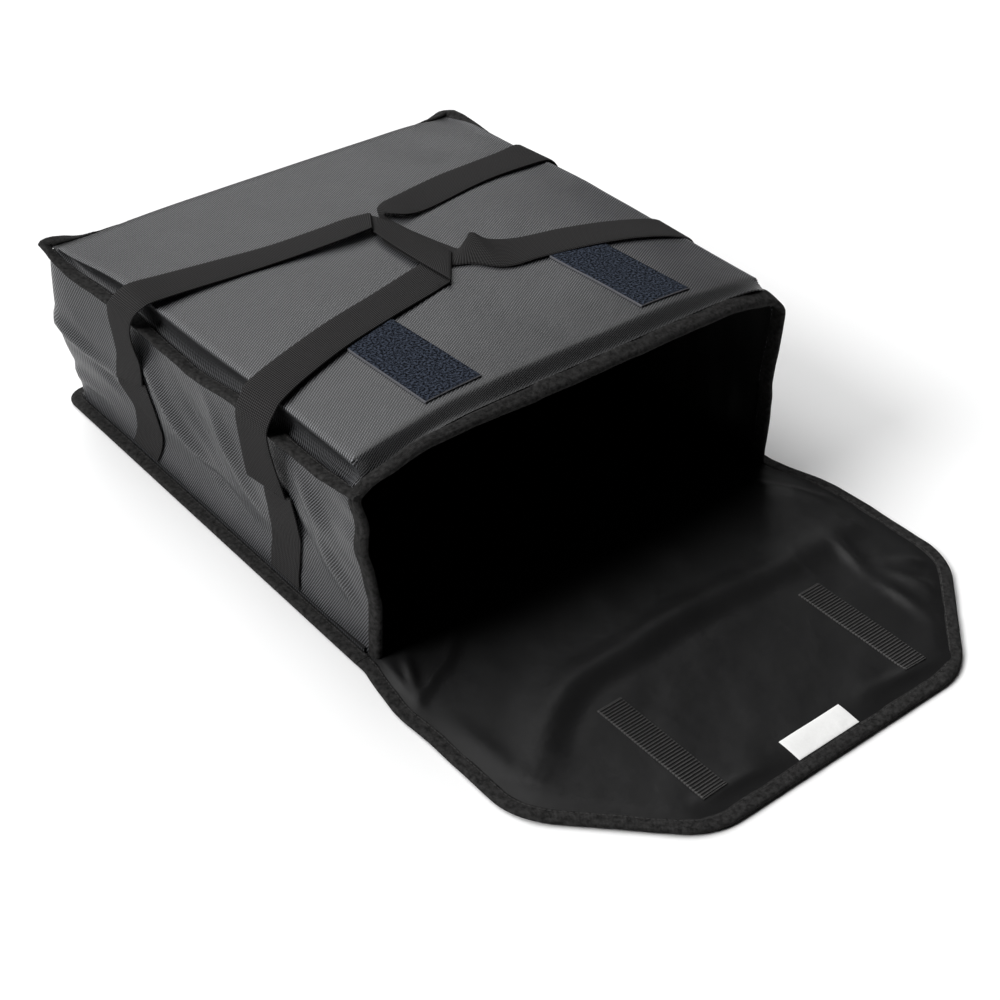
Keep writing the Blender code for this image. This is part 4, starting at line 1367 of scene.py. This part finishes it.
class CARRYBAG_OT_lid(PieceOperator, bpy.types.Operator):
    """Adds the padded lid cover and its lining"""

    bl_idname = "carrybag.lid"
    bl_label = "Lid"

    def execute(self, context):
        build_lid()
        return {"FINISHED"}


class CARRYBAG_OT_walls(PieceOperator, bpy.types.Operator):
    """Adds the padded side and rear walls and their lining"""

    bl_idname = "carrybag.walls"
    bl_label = "Walls"

    def execute(self, context):
        build_walls()
        return {"FINISHED"}


class CARRYBAG_OT_base(PieceOperator, bpy.types.Operator):
    """Adds the padded base and its lining"""

    bl_idname = "carrybag.base"
    bl_label = "Base"

    def execute(self, context):
        build_base()
        return {"FINISHED"}


class CARRYBAG_OT_flap(PieceOperator, bpy.types.Operator):
    """Adds the two stretches of the padded flap and their linings"""

    bl_idname = "carrybag.flap"
    bl_label = "Flap"

    def execute(self, context):
        build_flap()
        return {"FINISHED"}


class CARRYBAG_OT_tapes(PieceOperator, bpy.types.Operator):
    """Adds the binding tape round the lid, the base, the mouth and the flap"""

    bl_idname = "carrybag.tapes"
    bl_label = "Binding tapes"

    def execute(self, context):
        build_seam_tapes()
        build_mouth_tape()
        build_flap_tapes()
        return {"FINISHED"}


class CARRYBAG_OT_stitches(PieceOperator, bpy.types.Operator):
    """Adds the rows of stitches on the binding tapes"""

    bl_idname = "carrybag.stitches"
    bl_label = "Stitches"

    def execute(self, context):
        build_stitches(panel().stitch_pitch)
        return {"FINISHED"}


class CARRYBAG_OT_handles(PieceOperator, bpy.types.Operator):
    """Adds the webbing of both handles and of the four side straps"""

    bl_idname = "carrybag.handles"
    bl_label = "Handles"

    def execute(self, context):
        build_handles()
        build_straps()
        return {"FINISHED"}


class CARRYBAG_OT_closures(PieceOperator, bpy.types.Operator):
    """Adds the loop patches on the lid and the hook strips on the flap"""

    bl_idname = "carrybag.closures"
    bl_label = "Closures"

    def execute(self, context):
        build_closures()
        return {"FINISHED"}


class CARRYBAG_OT_tag(PieceOperator, bpy.types.Operator):
    """Adds the bare sewn tag"""

    bl_idname = "carrybag.tag"
    bl_label = "Tag"

    def execute(self, context):
        build_tag()
        return {"FINISHED"}


class CARRYBAG_OT_stage(PieceOperator, bpy.types.Operator):
    """Adds the floor, the lights and the camera"""

    bl_idname = "carrybag.stage"
    bl_label = "Stage"

    def execute(self, context):
        build_stage(panel())
        return {"FINISHED"}


OPERATORS = (
    CARRYBAG_OT_lid,
    CARRYBAG_OT_walls,
    CARRYBAG_OT_base,
    CARRYBAG_OT_flap,
    CARRYBAG_OT_tapes,
    CARRYBAG_OT_stitches,
    CARRYBAG_OT_handles,
    CARRYBAG_OT_closures,
    CARRYBAG_OT_tag,
    CARRYBAG_OT_stage,
)


class CARRYBAG_PT_panel(bpy.types.Panel):
    """Lists the steps that dress the bag"""

    bl_label = "Carry bag"
    bl_idname = "CARRYBAG_PT_panel"
    bl_space_type = "VIEW_3D"
    bl_region_type = "UI"
    bl_category = "Carry bag"

    def draw(self, context):
        settings = panel()
        for name in CarryBagSettings.__annotations__:
            self.layout.prop(settings, name)
        for operator in OPERATORS:
            self.layout.operator(operator.bl_idname)


def register():
    for cls in (CarryBagSettings, *OPERATORS, CARRYBAG_PT_panel):
        bpy.utils.register_class(cls)
    bpy.types.Scene.carry_bag = PointerProperty(type=CarryBagSettings)


def unregister():
    del bpy.types.Scene.carry_bag
    for cls in (CARRYBAG_PT_panel, *reversed(OPERATORS), CarryBagSettings):
        bpy.utils.unregister_class(cls)


def main():
    register()
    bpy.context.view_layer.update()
    bpy.ops.carrybag.lid()
    bpy.ops.carrybag.walls()
    bpy.ops.carrybag.base()
    bpy.ops.carrybag.flap()
    bpy.ops.carrybag.tapes()
    bpy.ops.carrybag.stitches()
    bpy.ops.carrybag.handles()
    bpy.ops.carrybag.closures()
    bpy.ops.carrybag.tag()
    bpy.ops.carrybag.stage()


if __name__ == "__main__":
    main()
